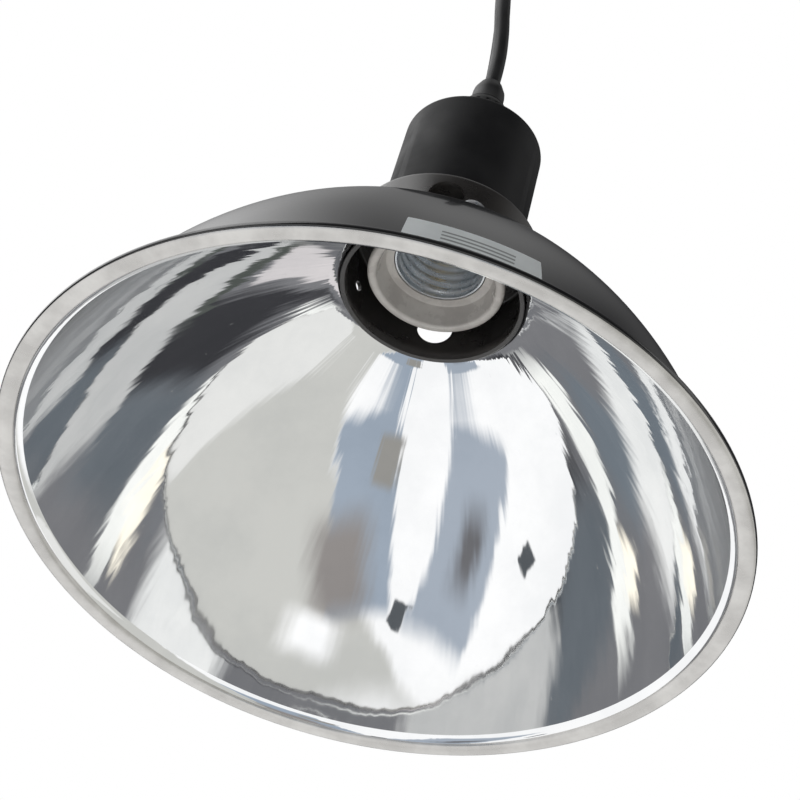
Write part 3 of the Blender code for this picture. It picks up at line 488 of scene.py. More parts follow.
def smooth_route(points, step):
    """Evenly spaced points on the centripetal spline through a route's own points."""
    pts = [Vector(p) for p in points]
    pts = [pts[0] * 2 - pts[1]] + pts + [pts[-1] * 2 - pts[-2]]
    fine = []
    for i in range(1, len(pts) - 2):
        p = pts[i - 1:i + 3]
        t = [0.0]
        for a, b in zip(p, p[1:]):
            t.append(t[-1] + math.sqrt((b - a).length))
        for k in range(24):
            u = t[1] + (t[2] - t[1]) * k / 24

            def mix(a, b, ta, tb):
                return a * ((tb - u) / (tb - ta)) + b * ((u - ta) / (tb - ta))

            a = [mix(p[j], p[j + 1], t[j], t[j + 1]) for j in range(3)]
            b = [mix(a[j], a[j + 1], t[j], t[j + 2]) for j in range(2)]
            fine.append(mix(b[0], b[1], t[1], t[2]))
    fine.append(pts[-2])
    run = [0.0]
    for a, b in zip(fine, fine[1:]):
        run.append(run[-1] + (b - a).length)
    count = max(2, round(run[-1] / step))
    even, k = [], 0
    for i in range(count + 1):
        want = run[-1] * i / count
        while k < len(run) - 2 and run[k + 1] < want:
            k += 1
        even.append(fine[k].lerp(fine[k + 1], (want - run[k]) / (run[k + 1] - run[k])))
    return even


def cord_curve(name, points):
    """A round cord through points in millimetres; its length in metres comes back with it."""
    curve = bpy.data.curves.new(name, "CURVE")
    curve.dimensions = "3D"
    curve.bevel_depth = CORD_D / 2 * MM
    curve.bevel_resolution = 5
    curve.use_fill_caps = True
    spline = curve.splines.new("POLY")
    spline.points.add(len(points) - 1)
    for point, co in zip(spline.points, points):
        point.co = (*(co * MM), 1)
    obj = bpy.data.objects.new(name, curve)
    bpy.context.scene.collection.objects.link(obj)
    curve.materials.append(JACKET)
    return obj, sum((b - a).length for a, b in zip(points, points[1:])) * MM


def coil_turns():
    """Turns from the low outer ring inwards, up, and outwards again to the high outer ring."""
    rings = [(TURN_PITCH, 0), (0, 0), (-TURN_PITCH, 0), (-TURN_PITCH, 1), (0, 1), (TURN_PITCH, 1)]
    first, last = 180.0, LEAVE_AT - 360.0 * (len(rings) - 1)
    count = 200
    points = []
    for k in range(count + 1):
        angle = first + (last - first) * k / count
        turn = (first - angle) / 360
        # Each change of ring takes the last part of its turn.
        ring = min(int(turn + 0.42), len(rings) - 1)
        blend = min(1.0, max(0.0, (turn + 0.42 - ring) / 0.22))
        blend = blend * blend * (3 - 2 * blend)
        before = rings[max(ring - 1, 0)]
        offset = before[0] + (rings[ring][0] - before[0]) * blend
        layer = before[1] + (rings[ring][1] - before[1]) * blend
        a = math.radians(angle)
        points.append(Vector((COIL_X + (COIL_R + offset) * math.cos(a),
                              COIL_Y + (COIL_R + offset) * math.sin(a),
                              COIL_LOW + TURN_PITCH * layer)))
    return points


def make_cords():
    exit_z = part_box("gland_nut")[1].z / MM + GAP
    switch_in = SWITCH_Y + SWITCH_L / 2 + GAP
    switch_out = SWITCH_Y - SWITCH_L / 2 - GAP
    lamp, lamp_length = cord_curve("lamp_cord", smooth_route(
        [(0, 0, exit_z)] + LAMP_LEAD + [(SWITCH_X, switch_in, SWITCH_JOIN)], 2.5))
    turns = coil_turns()
    lead = smooth_route([(SWITCH_X, switch_out, SWITCH_JOIN)] + SWITCH_LEAD + turns[:3], 2.5)
    tail = smooth_route(turns[-3:] + PLUG_LEAD + [(PLUG_X, PLUG_Y + GAP, PLUG_Z)], 2.5)
    plug, plug_length = cord_curve("plug_cord", lead[:-1] + turns[2:-3] + tail)
    return lamp, lamp_length, plug, plug_length


make_camera()
lamp_cord, lamp_length, plug_cord, plug_length = make_cords()
fit(lamp_cord, "lamp", "cord_jacket", "cord_lead_lamp")
fit(plug_cord, "lamp", "cord_jacket", "cord_lead_switch", "cord_coil", "cord_lead_plug")


# ---------------------------------------------------------------- reflector

def wall_point(lean, inset=0.0):
    """The point of the arcs where the wall leans by an angle, or a depth under that point."""
    low = min(lean, LEAN_MID)
    r = WALL_R - ARC_LOW * (math.cos(LEAN_RIM) - math.cos(low))
    z = BEAD_H + ARC_LOW * (math.sin(low) - math.sin(LEAN_RIM))
    if lean > LEAN_MID:
        r -= ARC_HIGH * (math.cos(LEAN_MID) - math.cos(lean))
        z += ARC_HIGH * (math.sin(lean) - math.sin(LEAN_MID))
    return r - inset * math.cos(lean), z - inset * math.sin(lean)


def cone_z(r, inset=0.0):
    foot_r, foot_z = wall_point(LEAN_CONE, inset)
    return foot_z + (foot_r - r) / math.tan(LEAN_CONE)


def make_reflector():
    leans = [LEAN_CONE + (LEAN_RIM - LEAN_CONE) * k / 48 for k in range(49)]
    outer = [wall_point(lean) for lean in leans]
    inner = [wall_point(lean, DOME_WALL) for lean in reversed(leans)]
    cone_out = [(r, cone_z(r)) for r in (HOLE_R + 0.25, HOLE_R + 4, HOLE_R + 9)]
    cone_in = [(r, cone_z(r, DOME_WALL)) for r in (HOLE_R + 9, HOLE_R + 4, HOLE_R + 0.25)]
    hole = [(HOLE_R, cone_z(HOLE_R, DOME_WALL) + 0.25), (HOLE_R, cone_z(HOLE_R) - 0.25)]
    mid_r, mid_z, half_w, half_h = RIM_R - 2.75, BEAD_H / 2, 2.75, BEAD_H / 2
    roll = []
    for k in range(23):
        a = math.radians(105 - 275 * k / 22)
        c, s = math.cos(a), math.sin(a)
        roll.append((mid_r + half_w * math.copysign(abs(c) ** 0.75, c),
                     mid_z + half_h * math.copysign(abs(s) ** 0.75, s)))
    outline = cone_out + outer + [(WALL_R + 0.5, BEAD_H - 0.35)] + roll
    outline += [(WALL_R + 0.35, 2.1)] + inner + cone_in + hole + cone_out[:1]
    obj = spun("reflector", outline, steps=192, angle=40)
    paint(obj, BUFFED, BEAD_METAL, ENAMEL)
    for face in obj.data.polygons:
        centre = face.center
        radius = math.hypot(centre.x, centre.y)
        outward = (face.normal.x * centre.x + face.normal.y * centre.y) / radius
        if radius > (WALL_R + 0.7) * MM and centre.z < BEAD_H * MM:
            painted = radius > (RIM_R - 0.75) * MM and centre.z > 0.5 * MM
            face.material_index = 2 if painted or face.normal.z > 0.35 else 1
        else:
            face.material_index = 2 if outward > 0.05 else 0
    return fit(obj, "lamp", "spun_aluminium", "dome_reflector")


# ---------------------------------------------------------------- neck and cap

def carve_cap_screws(obj):
    for azimuth in CAP_SCREW_AZ:
        hole = rod("screw_tool", CAP_SCREW_BORE_R, 12, (0, 0, 0), sides=20)
        carve(obj, face_out(hole, azimuth, SPIGOT_R, NECK_TOP + GAP + CAP_SCREW_UP))


def make_neck():
    inside = NECK_R - NECK_WALL
    throat = HOLE_R - GAP
    lip = HOLE_R + 0.7
    spigot_in = SPIGOT_R - NECK_WALL
    under = cone_z(lip, DOME_WALL) - GAP
    top = NECK_TOP + SPIGOT_H
    outline = [(SPIGOT_R - 0.3, top), (SPIGOT_R, top - 0.3), (SPIGOT_R, NECK_TOP + 0.5),
               (SPIGOT_R + 0.5, NECK_TOP)]
    outline += arc(NECK_R - 2.2, NECK_TOP - 2.2, 2.2, 90, 0, 8)
    outline += [(NECK_R, cone_z(NECK_R) + GAP), (inside, cone_z(inside) + GAP),
                (throat, cone_z(throat) + GAP), (throat, cone_z(throat, DOME_WALL) - GAP),
                (lip, under), (lip + 0.05, under - 0.25), (lip - 0.2, under - 0.5),
                (throat - 0.4, under - 0.35), (throat - 0.6, under + 0.1),
                (throat - 0.6, cone_z(throat) + GAP + 0.9), (inside, cone_z(throat) + GAP + 1.6)]
    outline += arc(inside - 1.2, NECK_TOP - NECK_WALL - 1.2, 1.2, 0, 90, 5)
    outline += [(spigot_in, NECK_TOP - NECK_WALL), (spigot_in, top), (SPIGOT_R - 0.3, top)]
    obj = spun("neck", outline, steps=144)
    for k in range(VENT_COUNT):
        hole = rod("vent_tool", VENT_R, 8, (0, 0, 0), sides=40)
        carve(obj, face_out(hole, VENT_AZ + 360 / VENT_COUNT * k, NECK_R, VENT_Z))
    carve(obj, face_out(rod("side_tool", SIDE_HOLE_R, 8, (0, 0, 0), sides=24), SIDE_HOLE_AZ,
                        NECK_R, SIDE_HOLE_Z))
    carve(obj, face_out(rod("screw_tool", NECK_SCREW_BORE_R, 8, (0, 0, 0), sides=24),
                        NECK_SCREW_AZ, NECK_R, NECK_SCREW_Z))
    carve_cap_screws(obj)
    return complete(obj, NECK_PAINT, "black_painted_metal", "vent_neck")


def make_cap():
    low, high = (corner.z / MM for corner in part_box("socket_cap"))
    bore = 5.2
    roof = high - 1.6
    edge = CAP_EDGE
    outline = [(bore, high - 0.15), (bore + 0.15, high)]
    outline += arc(CAP_TOP_R - edge, high - edge, edge, 90, 0, 10)
    outline += [(CAP_R, low + 0.5), (CAP_R - 0.15, low + 0.12), (CAP_R - 0.45, low),
                (CAP_R - CAP_WALL, low), (CAP_TOP_R - CAP_WALL, roof - 1.5),
                (CAP_TOP_R - CAP_WALL - 0.45, roof - 0.45), (CAP_TOP_R - CAP_WALL - 1.5, roof),
                (bore, roof), (bore, high - 0.15)]
    obj = spun("cap", outline, steps=128)
    carve_cap_screws(obj)
    return complete(obj, POWDER, "black_painted_metal", "socket_cap")


def pan_screw(name, shank_r, shank_l, head_r, head_h, mat):
    """A pan-head screw along Z with its head's foot at 0 and a cross in its head."""
    outline = [(0, head_h)] + [
        (head_r * math.sin(math.radians(a)), head_h * (0.35 + 0.65 * math.cos(math.radians(a))))
        for a in (12, 24, 36, 48, 60, 72, 82, 90)]
    outline += [(head_r, 0.15), (head_r - 0.15, 0), (shank_r, 0), (shank_r, -shank_l + 0.5),
                (shank_r - 0.4, -shank_l), (0, -shank_l)]
    obj = spun(name, outline, steps=40)
    width = head_r * 0.22
    for size_x, size_y in ((head_r * 1.25, width), (width, head_r * 1.25)):
        tool = slab("slot_tool", (size_x, size_y, head_h * 0.9), (0, 0, head_h), 0.04, 1)
        carve(obj, tool)
    smooth(obj, 35)
    return paint(obj, mat)


def make_screws():
    neck = pan_screw("neck_pan_screw", 2.0, 6.4, NECK_SCREW_HEAD_R, 2.4, ZINC)
    face_out(neck, NECK_SCREW_AZ, NECK_R + GAP, NECK_SCREW_Z)
    fit(neck, "lamp", "plated_steel", "neck_screw")
    for k, azimuth in enumerate(CAP_SCREW_AZ, 1):
        screw = pan_screw("cap_pan_screw_%d" % k, 1.25, 2.9, 2.4, 1.5, BLACK_STEEL)
        face_out(screw, azimuth, CAP_R + GAP, NECK_TOP + GAP + CAP_SCREW_UP)
        fit(screw, "lamp", "black_screws", "cap_screw_%d" % k)


# ---------------------------------------------------------------- socket

def make_porcelain():
    head_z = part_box("porcelain_socket")[1].z / MM
    floor_z = head_z - FLOOR_T
    bore = SHELL_R + GAP
    core = CORE_HOLE_R
    outline = [(core, head_z)] + arc(HEAD_R - 1, head_z - 1, 1, 90, 0, 5)
    outline += [(HEAD_R, head_z - HEAD_H), (BODY_R - 0.4, head_z - HEAD_H - 1.0),
                (BODY_R, head_z - HEAD_H - 1.7), (BODY_R, LIP_Z + LIP_H + 1.0),
                (BODY_R + 0.3, LIP_Z + LIP_H + 0.5), (LIP_R - 0.5, LIP_Z + LIP_H - 0.1),
                (LIP_R - 0.1, LIP_Z + LIP_H - 0.5)]
    outline += arc(LIP_R - 1.3, LIP_Z + 1.3, 1.3, 0, -90, 7)
    outline += arc(LIP_BORE_R + 1.0, LIP_Z + 1.0, 1.0, -90, -180, 6)
    outline += [(WELL_R, WELL_Z - 0.9), (WELL_R - 0.3, WELL_Z - 0.25), (WELL_R - 0.9, WELL_Z),
                (bore, WELL_Z), (bore, floor_z), (core, floor_z), (core, head_z)]
    obj = spun("porcelain", outline, steps=128)
    for name, radius in (("rivet_live", RIVET_BORE_R), ("rivet_neutral", RIVET_BORE_R),
                         ("terminal_screw_live", 1.7), ("terminal_screw_neutral", 1.7),
                         ("bracket_screw_1", 1.8), ("bracket_screw_2", 1.8)):
        size, centre = box_of(name)
        through = name.startswith("rivet")
        bottom = floor_z - 1 if through else centre.z - size.z / 2 - 0.6
        height = head_z + 1 - bottom
        carve(obj, rod("bore_tool", radius, height, (centre.x, centre.y, bottom + height / 2),
                       sides=20))
    return complete(obj, GLAZE, "porcelain", "porcelain_socket")


def make_shell():
    """The screw shell: a turned cup whose wall is then drawn into a helical thread."""
    low, high = (corner.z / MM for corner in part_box("screw_shell"))
    rows = 96
    wall = [low + 0.6 + (high - 2.2 - low - 0.6) * k / rows for k in range(rows + 1)]
    flange = 8.6
    outline = [(flange, high), (SHELL_R - 1.2, high), (SHELL_R - 0.4, high - 0.6)]
    outline += [(SHELL_R, z) for z in reversed(wall)]
    outline += [(SHELL_R, low), (SHELL_R - SHELL_WALL, low)]
    outline += [(SHELL_R - SHELL_WALL, z) for z in wall]
    outline += [(SHELL_R - 1.4, high - SHELL_WALL), (flange, high - SHELL_WALL), (flange, high)]
    obj = spun("thread_shell", outline, steps=112, angle=60)
    for vertex in obj.data.vertices:
        x, y, z = vertex.co / MM
        radius = math.hypot(x, y)
        if radius < SHELL_R - 0.8:
            continue
        turn = math.atan2(y, x) / (2 * math.pi)
        fade = min(1, max(0, (z - low - 0.8) / 1.5)) * min(1, max(0, (high - 2.4 - z) / 1.5))
        wave = SHELL_WAVE * (0.5 - 0.5 * math.cos(2 * math.pi * ((z - low) / THREAD_PITCH - turn)))
        scale = 1 - wave * fade / radius
        vertex.co.x *= scale
        vertex.co.y *= scale
    carve(obj, rod("rivet_tool", RIVET_BORE_R, 3, (0, RIVET_Y, high - 0.5), sides=20))
    return complete(obj, SHELL_METAL, "socket_shell", "screw_shell", angle=60)


# ---------------------------------------------------------------- cord grip

def make_grip():
    low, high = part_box("gland_body")
    z0, z1 = low.z / MM, high.z / MM
    body = rod("grip_body", GRIP_AF / math.sqrt(3), GRIP_HEX_H, (0, 0, z0 + GRIP_HEX_H / 2), sides=6)
    bevel = body.modifiers.new("edge", "BEVEL")
    bevel.width = 0.5 * MM
    bevel.segments = 3
    apply_modifier(body, bevel)
    carve(body, rod("grip_neck", GRIP_NECK_R, z1 - z0 - 1, (0, 0, (z0 + 1 + z1) / 2)), "UNION")
    carve(body, rod("bore_tool", GRIP_BORE_R, z1 - z0 + 4, (0, 0, (z0 + z1) / 2)))
    complete(body, NYLON, "black_nylon", "gland_body", angle=30)

    low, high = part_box("gland_nut")
    z0, z1 = low.z / MM, high.z / MM
    hole, waist, wide, mouth = CORD_D / 2 + GAP, GRIP_WAIST_R, GRIP_NUT_R, GRIP_MOUTH_R
    roof = z1 - GRIP_TAPER_H
    outline = [(hole, z1 - 0.2), (hole + 0.2, z1), (mouth, z1)]
    outline += arc(mouth, z1 - 0.6, 0.6, 80, 10, 4)
    outline += [(waist - 0.6, z1 - 2.6), (waist - 0.2, z1 - 3.6), (waist, z1 - 5.2),
                (waist, z1 - 9.6), (waist + 0.5, z1 - 10.6), (wide - 0.5, roof - 2.2),
                (wide, roof - 3.4), (wide, z0 + 0.6), (wide - 0.2, z0 + 0.15), (wide - 0.6, z0),
                (6.9, z0), (6.9, roof - 0.3), (hole, roof - 0.1), (hole, z1 - 0.2)]
    nut = spun("grip_nut", outline, steps=96)
    for k in range(GRIP_FLUTES):
        a = 2 * math.pi * k / GRIP_FLUTES
        groove = rod("flute_tool", 0.7, roof - 4.6 - z0,
                     ((wide + 0.35) * math.cos(a), (wide + 0.35) * math.sin(a),
                      (z0 + 0.9 + roof - 3.7) / 2), sides=10)
        carve(nut, groove)
    complete(nut, NYLON, "black_nylon", "gland_nut", angle=32)


# ---------------------------------------------------------------- label

def make_label():
    pick_nothing()
    bpy.ops.mesh.primitive_grid_add(x_subdivisions=36, y_subdivisions=20, size=1)
    obj = take("label")
    mid_z = wall_point(LEAN_MID)[1]
    for vertex in obj.data.vertices:
        u, v = vertex.co.x, vertex.co.y
        corner = max(0.0, math.hypot(max(0, abs(u) - 0.47) / 0.03, max(0, abs(v) - 0.44) / 0.06) - 1)
        z = LABEL_Z0 + (LABEL_Z1 - LABEL_Z0) * (v * (1 - 0.01 * corner) + 0.5)
        azimuth = LABEL_AZ0 + (LABEL_AZ1 - LABEL_AZ0) * (u * (1 - 0.01 * corner) + 0.5)
        lean = math.asin(math.sin(LEAN_RIM) + (z - BEAD_H) / ARC_LOW)
        if z > mid_z:
            lean = math.asin(math.sin(LEAN_MID) + (z - mid_z) / ARC_HIGH)
        vertex.co = around(azimuth, wall_point(lean)[0] + LABEL_UP, z) * MM
    sheet = obj.modifiers.new("film", "SOLIDIFY")
    sheet.thickness = LABEL_T * MM
    sheet.offset = 1.0
    apply_modifier(obj, sheet)
    return complete(obj, LABEL, "label_film", "rating_label", angle=40)


# ---------------------------------------------------------------- switch, plug and tie

def make_switch():
    size, centre = box_of("switch_base")
    room = Vector((size.x - 2 * SWITCH_WALL, size.y - 2 * SWITCH_END, size.z))
    rise = Vector((0, 0, SWITCH_WALL))
    screw_y = [SWITCH_Y + side * SWITCH_SCREW_Y for side in (-1, 1)]
    base = slab("switch_floor", size, centre, 1.3)
    carve(base, slab("cavity_tool", room, centre + rise, 0.3, 1))
    for y in screw_y:
        carve(base, rod("bore_tool", 1.5, 20, (SWITCH_X, y, 3), sides=24))
        carve(base, rod("head_tool", 2.9, 4.4, (SWITCH_X, y, 0), sides=32))
    complete(base, NYLON, "black_nylon", "switch_base")

    size, centre = box_of("switch_cover")
    low, high = centre.z - size.z / 2, centre.z + size.z / 2
    room.z = size.z
    cover = slab("switch_hood", size, centre, 1.9, 5)
    carve(cover, slab("cavity_tool", room, centre - rise, 0.3, 1))
    carve(cover, slab("window_tool", ROCKER_WINDOW, (SWITCH_X, SWITCH_Y, high), 0.4, 2))
    for side, end_y in zip((-1, 1), screw_y):
        for k in range(6):
            y = SWITCH_Y + side * (15.5 + 2.4 * k)
            carve(cover, slab("rib_tool", (size.x - 8, 0.9, 0.9), (SWITCH_X, y, high), 0.2, 2))
        carve(cover, rod("bore_tool", 1.5, 7, (SWITCH_X, end_y, low + 2.5), sides=24))
    complete(cover, NYLON, "black_nylon", "switch_cover")

    rocker = nodes["switch_rocker"]
    paint(rocker, finish("rocker_gloss", ((0.013, 0.013, 0.014), (0.019, 0.019, 0.02)),
                         (0.14, 0.24), bump=0.08, fine=700.0, cloud=50.0, coat=0.4))
    return [base, cover, rocker, nodes["switch_screw_1"], nodes["switch_screw_2"]]


def make_plug():
    size, centre = box_of("plug_body")
    body = slab("plug_moulding", size, centre, 3.2, 6)
    for side in (-1, 1):
        for k in range(5):
            y = centre.y + 8.5 - 3.2 * k
            carve(body, slab("grip_tool", (1.2, 1.3, size.z - 6),
                             (centre.x + side * size.x / 2, y, centre.z), 0.3, 2))
        middle = box_of("plug_blade_1" if side < 0 else "plug_blade_2")[1]
        carve(body, slab("slot_tool", (2.1, 10, 7), (middle.x, centre.y - size.y / 2, middle.z),
                         0.1, 1))
    complete(body, NYLON, "black_nylon", "plug_body")

    low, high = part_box("plug_relief")
    length = (high.y - low.y) / MM
    outline = [(0, length), (3.3, length), (RELIEF_R0, length - 0.5)]
    for k in range(6):
        top = length - 1.6 - 3.3 * k
        r = RELIEF_R0 + (RELIEF_R1 - RELIEF_R0) * (length - top) / length
        outline += [(r, top), (r, top - 0.1), (r - 0.9, top - 0.5), (r - 0.9, top - 1.4),
                    (r + 0.05, top - 1.8)]
    outline += [(5.35, 0.3), (5.2, 0), (0, 0)]
    relief = spun("cord_relief", outline, steps=48)
    relief.rotation_euler = (-math.pi / 2, 0, 0)
    relief.location = (PLUG_X * MM, low.y, PLUG_Z * MM)
    settle(relief)
    paint(relief, RUBBER)
    fit(relief, "lamp", "black_rubber", "plug_relief")
    return [body, relief, nodes["plug_blade_1"], nodes["plug_blade_2"]]


def make_tie():
    """A strap round the coil's section: a band with rounded edges and its middle cut out."""
    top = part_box("cord_tie")[1].z
    heading = math.radians(TIE_AT)
    middle = Vector((COIL_X + COIL_R * math.cos(heading), COIL_Y + COIL_R * math.sin(heading), 0))
    half_w, half_h, thick, width = 9.2, 6.3, TIE_T, TIE_W
    z_mid = top / MM / 2
    pick_nothing()
    bpy.ops.mesh.primitive_cube_add(size=1)
    strap = take("strap")
    strap.scale = ((half_w + thick) * 2 * MM, width * MM, top)
    settle(strap)
    bevel = strap.modifiers.new("round", "BEVEL")
    bevel.width = 3.2 * MM
    bevel.segments = 6
    bevel.limit_method = "WEIGHT"
    weights = strap.data.attributes.new("bevel_weight_edge", "FLOAT", "EDGE")
    for edge in strap.data.edges:
        a, b = (strap.data.vertices[v].co for v in edge.vertices)
        weights.data[edge.index].value = 1.0 if abs(a.y - b.y) > width * MM * 0.5 else 0.0
    apply_modifier(strap, bevel)
    tool = slab("strap_tool", (half_w * 2, width + 6, half_h * 2 - 0.6), (0, 0, 0), 2.4, 6)
    carve(strap, tool)
    strap.location = (middle.x * MM, middle.y * MM, z_mid * MM)
    strap.rotation_euler = (0, 0, heading)
    settle(strap)
    complete(strap, STRAP, "tie_strap", "cord_tie")
    return strap


make_reflector()
make_neck()
make_cap()
make_screws()
make_porcelain()
make_shell()
make_grip()
make_label()
switch_pieces = make_switch()
plug_pieces = make_plug()
tie_piece = make_tie()

for node, mat in (("neck_screw_nut", ZINC), ("terminal_live", BRASS), ("terminal_neutral", BRASS),
                  ("rivet_live", BRASS), ("rivet_neutral", BRASS),
                  ("terminal_screw_live", BRASS), ("terminal_screw_neutral", ZINC),
                  ("contact_root", BRASS), ("contact_tongue", BRASS), ("socket_bracket", ZINC),
                  ("bracket_screw_1", ZINC), ("bracket_screw_2", ZINC),
                  ("threaded_nipple", ZINC), ("bracket_nut", ZINC), ("gland_seal", RUBBER),
                  ("cord_inner", JACKET), ("wire_live", WIRE_DARK), ("wire_neutral", WIRE_PALE),
                  ("switch_screw_1", ZINC), ("switch_screw_2", ZINC),
                  ("plug_blade_1", BRASS), ("plug_blade_2", BRASS)):
    paint(nodes[node], mat)


# ---------------------------------------------------------------- studio

def make_floor():
    """A pale floor under the lamp, seen only from above, that neither shades nor mirrors."""
    pick_nothing()
    bpy.ops.mesh.primitive_plane_add(size=8, location=(0, 0, 0))
    floor = take("studio_floor")
    mat = bpy.data.materials.new("pale_floor")
    mat.use_nodes = True
    tree = mat.node_tree
    shader = tree.nodes["Principled BSDF"]
    shader.inputs["Base Color"].default_value = (0.86, 0.86, 0.85, 1)
    shader.inputs["Roughness"].default_value = 0.7
    shader.inputs["Emission Color"].default_value = (1, 1, 1, 1)
    shader.inputs["Emission Strength"].default_value = 0.4
    from_above = maths(tree, "SUBTRACT", 1.0, put(tree, "NewGeometry").outputs["Backfacing"])
    shown = maths(tree, "MULTIPLY", put(tree, "LightPath").outputs["Is Camera Ray"], from_above)
    surface = put(tree, "MixShader", {0: shown, 1: put(tree, "BsdfTransparent").outputs[0],
                                      2: shader.outputs[0]})
    tree.links.new(surface.outputs[0], tree.nodes["Material Output"].inputs["Surface"])
    floor.data.materials.append(mat)


def patch_group():
    """A soft-edged rectangle on the sky, given by its middle and its two half-axes."""
    group = bpy.data.node_groups.new("sky_patch", "ShaderNodeTree")
    for label, kind in (("Direction", "Vector"), ("Middle", "Vector"), ("Across", "Vector"),
                        ("Rise", "Vector"), ("Edge", "Float")):
        group.interface.new_socket(label, in_out="INPUT", socket_type="NodeSocket" + kind)
    group.interface.new_socket("Mask", in_out="OUTPUT", socket_type="NodeSocketFloat")
    inside = group.nodes.new("NodeGroupInput")
    out = group.nodes.new("NodeGroupOutput")
    away = group.nodes.new("ShaderNodeVectorMath")
    away.operation = "SUBTRACT"
    group.links.new(inside.outputs["Direction"], away.inputs[0])
    group.links.new(inside.outputs["Middle"], away.inputs[1])
    masks = []
    for axis in ("Across", "Rise", "Middle"):
        dot = group.nodes.new("ShaderNodeVectorMath")
        dot.operation = "DOT_PRODUCT"
        group.links.new(away.outputs[0], dot.inputs[0])
        group.links.new(inside.outputs[axis], dot.inputs[1])
        size = maths(group, "ABSOLUTE", dot.outputs["Value"])
        fall = group.nodes.new("ShaderNodeMapRange")
        fall.interpolation_type = "SMOOTHSTEP"
        group.links.new(size, fall.inputs["Value"])
        group.links.new(maths(group, "SUBTRACT", 1.0, inside.outputs["Edge"]), fall.inputs["From Min"])
        group.links.new(maths(group, "ADD", 1.0, inside.outputs["Edge"]), fall.inputs["From Max"])
        fall.inputs["To Min"].default_value = 1.0
        fall.inputs["To Max"].default_value = 0.0
        masks.append(fall.outputs["Result"])
    product = maths(group, "MULTIPLY", maths(group, "MULTIPLY", masks[0], masks[1]), masks[2])
    group.links.new(product, out.inputs["Mask"])
    return group


def bearing(x, y):
    """The direction that lies x and y degrees from straight down, towards +X and +Y."""
    tilt = math.radians(math.hypot(x, y))
    turn = math.atan2(y, x)
    return Vector((math.sin(tilt) * math.cos(turn), math.sin(tilt) * math.sin(turn),
                   -math.cos(tilt)))


def add_patch(tree, group, direction, base, x, y, half_x, half_y, turn, edge, colour):
    """Lay one soft card or dark shape over what is already there."""
    middle = bearing(x, y)
    east = (bearing(x + 0.5, y) - bearing(x - 0.5, y)).normalized()
    north = middle.cross(east).normalized()
    if north.dot(bearing(x, y + 0.5) - bearing(x, y - 0.5)) < 0:
        north = -north
    a = math.radians(turn)
    across = (east * math.cos(a) + north * math.sin(a)) / math.sin(math.radians(half_x))
    rise = (north * math.cos(a) - east * math.sin(a)) / math.sin(math.radians(half_y))
    node = tree.nodes.new("ShaderNodeGroup")
    node.node_tree = group
    tree.links.new(direction, node.inputs["Direction"])
    node.inputs["Middle"].default_value = middle
    node.inputs["Across"].default_value = across
    node.inputs["Rise"].default_value = rise
    node.inputs["Edge"].default_value = edge
    return blend(tree, node.outputs["Mask"], base, colour)


# what the polished wall mirrors once: x, y, half sizes, turn, edge, colour
FIRST_CARDS = [
    (50, -32, 29, 62, 0, 0.06, (0.62, 0.62, 0.59)),
    (58, 8, 20, 14, -8, 0.12, (0.84, 0.84, 0.82)),
    (3, -46, 11, 25, -16, 0.10, (0.36, 0.42, 0.50)),
    (6, -60, 9, 12, -16, 0.5, (0.30, 0.28, 0.27)),
    (-1, -33, 4, 6, 0, 0.3, (0.34, 0.33, 0.31)),
    (11, -76, 8, 4, 10, 0.6, (1.1, 1.1, 1.1)),
    (-40, -36, 11, 25, -16, 0.12, (0.40, 0.45, 0.52)),
    (-42, -38, 4, 9, -16, 0.7, (0.16, 0.16, 0.17)),
    (-62, -22, 2.6, 3.2, 0, 0.15, (0.10, 0.11, 0.12)),
    (-24, -64, 2.6, 3.2, 0, 0.15, (0.10, 0.11, 0.12)),
]
# what it mirrors after two or more reflections
LATER_CARDS = [
    (20, -25, 16, 14, 0, 0.25, (0.05, 0.05, 0.055)),
    (12, -46, 22, 8, 0, 0.5, (0.16, 0.18, 0.20)),
    (52, -5, 14, 34, 0, 0.12, (0.62, 0.62, 0.61)),
    (28, 10, 5, 14, -12, 0.15, (0.75, 0.71, 0.71)),
    (36, 4, 2.0, 20, 0, 0.3, (0.10, 0.11, 0.10)),
    (-50, 0, 15, 24, 0, 0.25, (0.98, 0.98, 0.96)),
    (-26, -22, 10, 11, 0, 0.5, (0.20, 0.23, 0.26)),
    (-11, -36, 5, 20, -24, 0.25, (1.15, 1.15, 1.1)),
    (-24, -43, 5, 4, 0, 0.4, (1.4, 1.3, 1.1)),
]

# what lies overhead, in degrees from straight up
SKY_CARDS = [
    (-40, 12, 22, 30, 0, 0.7, (1.5, 1.5, 1.5)),
    (2, 2, 12, 22, 0, 0.8, (0.36, 0.36, 0.36)),
    (34, 10, 8, 22, 10, 0.8, (0.34, 0.34, 0.34)),
]


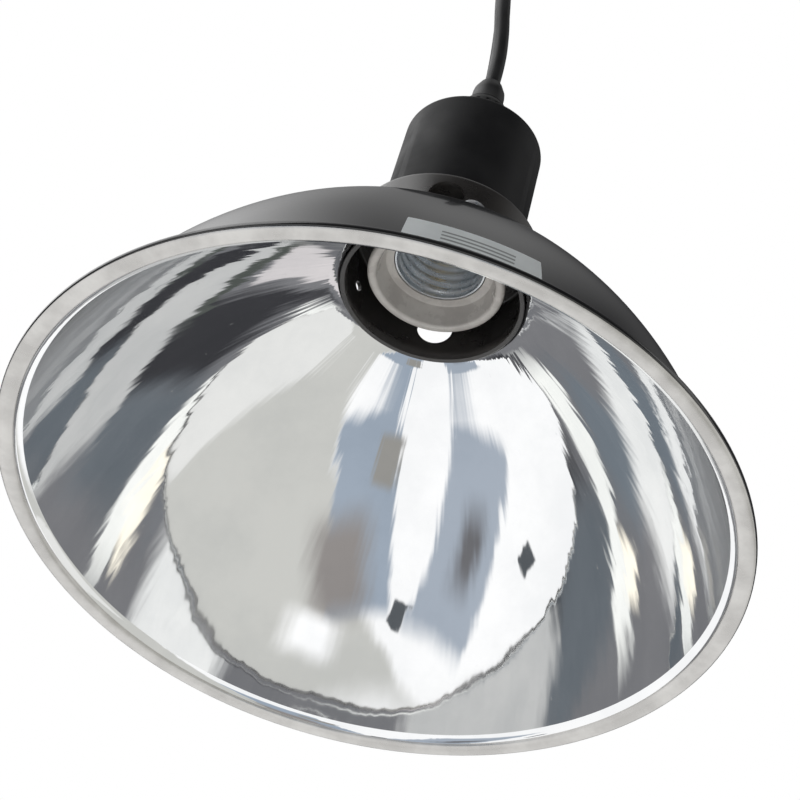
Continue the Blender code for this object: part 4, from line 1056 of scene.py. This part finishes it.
def make_world():
    """White to the camera; soft cards and dark gaps where polished metal looks."""
    world = bpy.data.worlds.new("studio")
    world.use_nodes = True
    bpy.context.scene.world = world
    tree = world.node_tree
    tree.nodes.clear()
    out = tree.nodes.new("ShaderNodeOutputWorld")
    place = tree.nodes.new("ShaderNodeTexCoord").outputs["Generated"]
    wobble = tree.nodes.new("ShaderNodeTexNoise")
    wobble.inputs["Scale"].default_value = 6.0
    wobble.inputs["Detail"].default_value = 3.0
    tree.links.new(place, wobble.inputs["Vector"])
    shift = tree.nodes.new("ShaderNodeVectorMath")
    shift.operation = "MULTIPLY_ADD"
    shift.inputs[1].default_value = (0.05, 0.05, 0.05)
    tree.links.new(wobble.outputs["Color"], shift.inputs[0])
    tree.links.new(place, shift.inputs[2])
    centre = tree.nodes.new("ShaderNodeVectorMath")
    centre.operation = "SUBTRACT"
    centre.inputs[1].default_value = (0.025, 0.025, 0.025)
    tree.links.new(shift.outputs[0], centre.inputs[0])
    direction = centre.outputs[0]
    group = patch_group()

    def laid_over(colour, cards, way):
        for card in cards:
            colour = add_patch(tree, group, way, colour, *card)
        return colour

    first = laid_over((1.05, 1.05, 1.05), FIRST_CARDS, direction)
    later = laid_over((0.22, 0.22, 0.23), LATER_CARDS, direction)
    flip = tree.nodes.new("ShaderNodeVectorMath")
    flip.operation = "MULTIPLY"
    flip.inputs[1].default_value = (1, 1, -1)
    tree.links.new(place, flip.inputs[0])
    over = laid_over((0.025, 0.025, 0.027), SKY_CARDS, flip.outputs[0])
    height = tree.nodes.new("ShaderNodeSeparateXYZ")
    tree.links.new(place, height.inputs[0])
    above = ramp(tree, height.outputs["Z"], -0.05, 0.25)
    path = put(tree, "LightPath")
    repeated = maths(tree, "GREATER_THAN", path.outputs["Glossy Depth"], 1.5)
    seen = blend(tree, repeated, blend(tree, above, first, over), later)
    glow = put(tree, "Background", {"Color": blend(tree, path.outputs["Is Camera Ray"], seen,
                                                   (1.0, 1.0, 1.0))})
    tree.links.new(glow.outputs[0], out.inputs["Surface"])


def soft_light(name, place, size, power):
    light = bpy.data.lights.new(name, "AREA")
    light.shape = "RECTANGLE"
    light.size, light.size_y = size
    light.energy = power
    obj = bpy.data.objects.new(name, light)
    bpy.context.scene.collection.objects.link(obj)
    obj.location = place
    obj.rotation_euler = (Vector((0, 0, 0.08)) - obj.location).to_track_quat("-Z", "Y").to_euler()
    obj.visible_camera = False


make_floor()
make_world()
soft_light("left_key", (-1.1, -0.7, 1.0), (0.7, 0.9), 2.5)
soft_light("right_fill", (1.2, -0.4, 0.6), (0.5, 0.9), 1.2)
bpy.context.scene.view_settings.view_transform = "Standard"

pick_nothing()
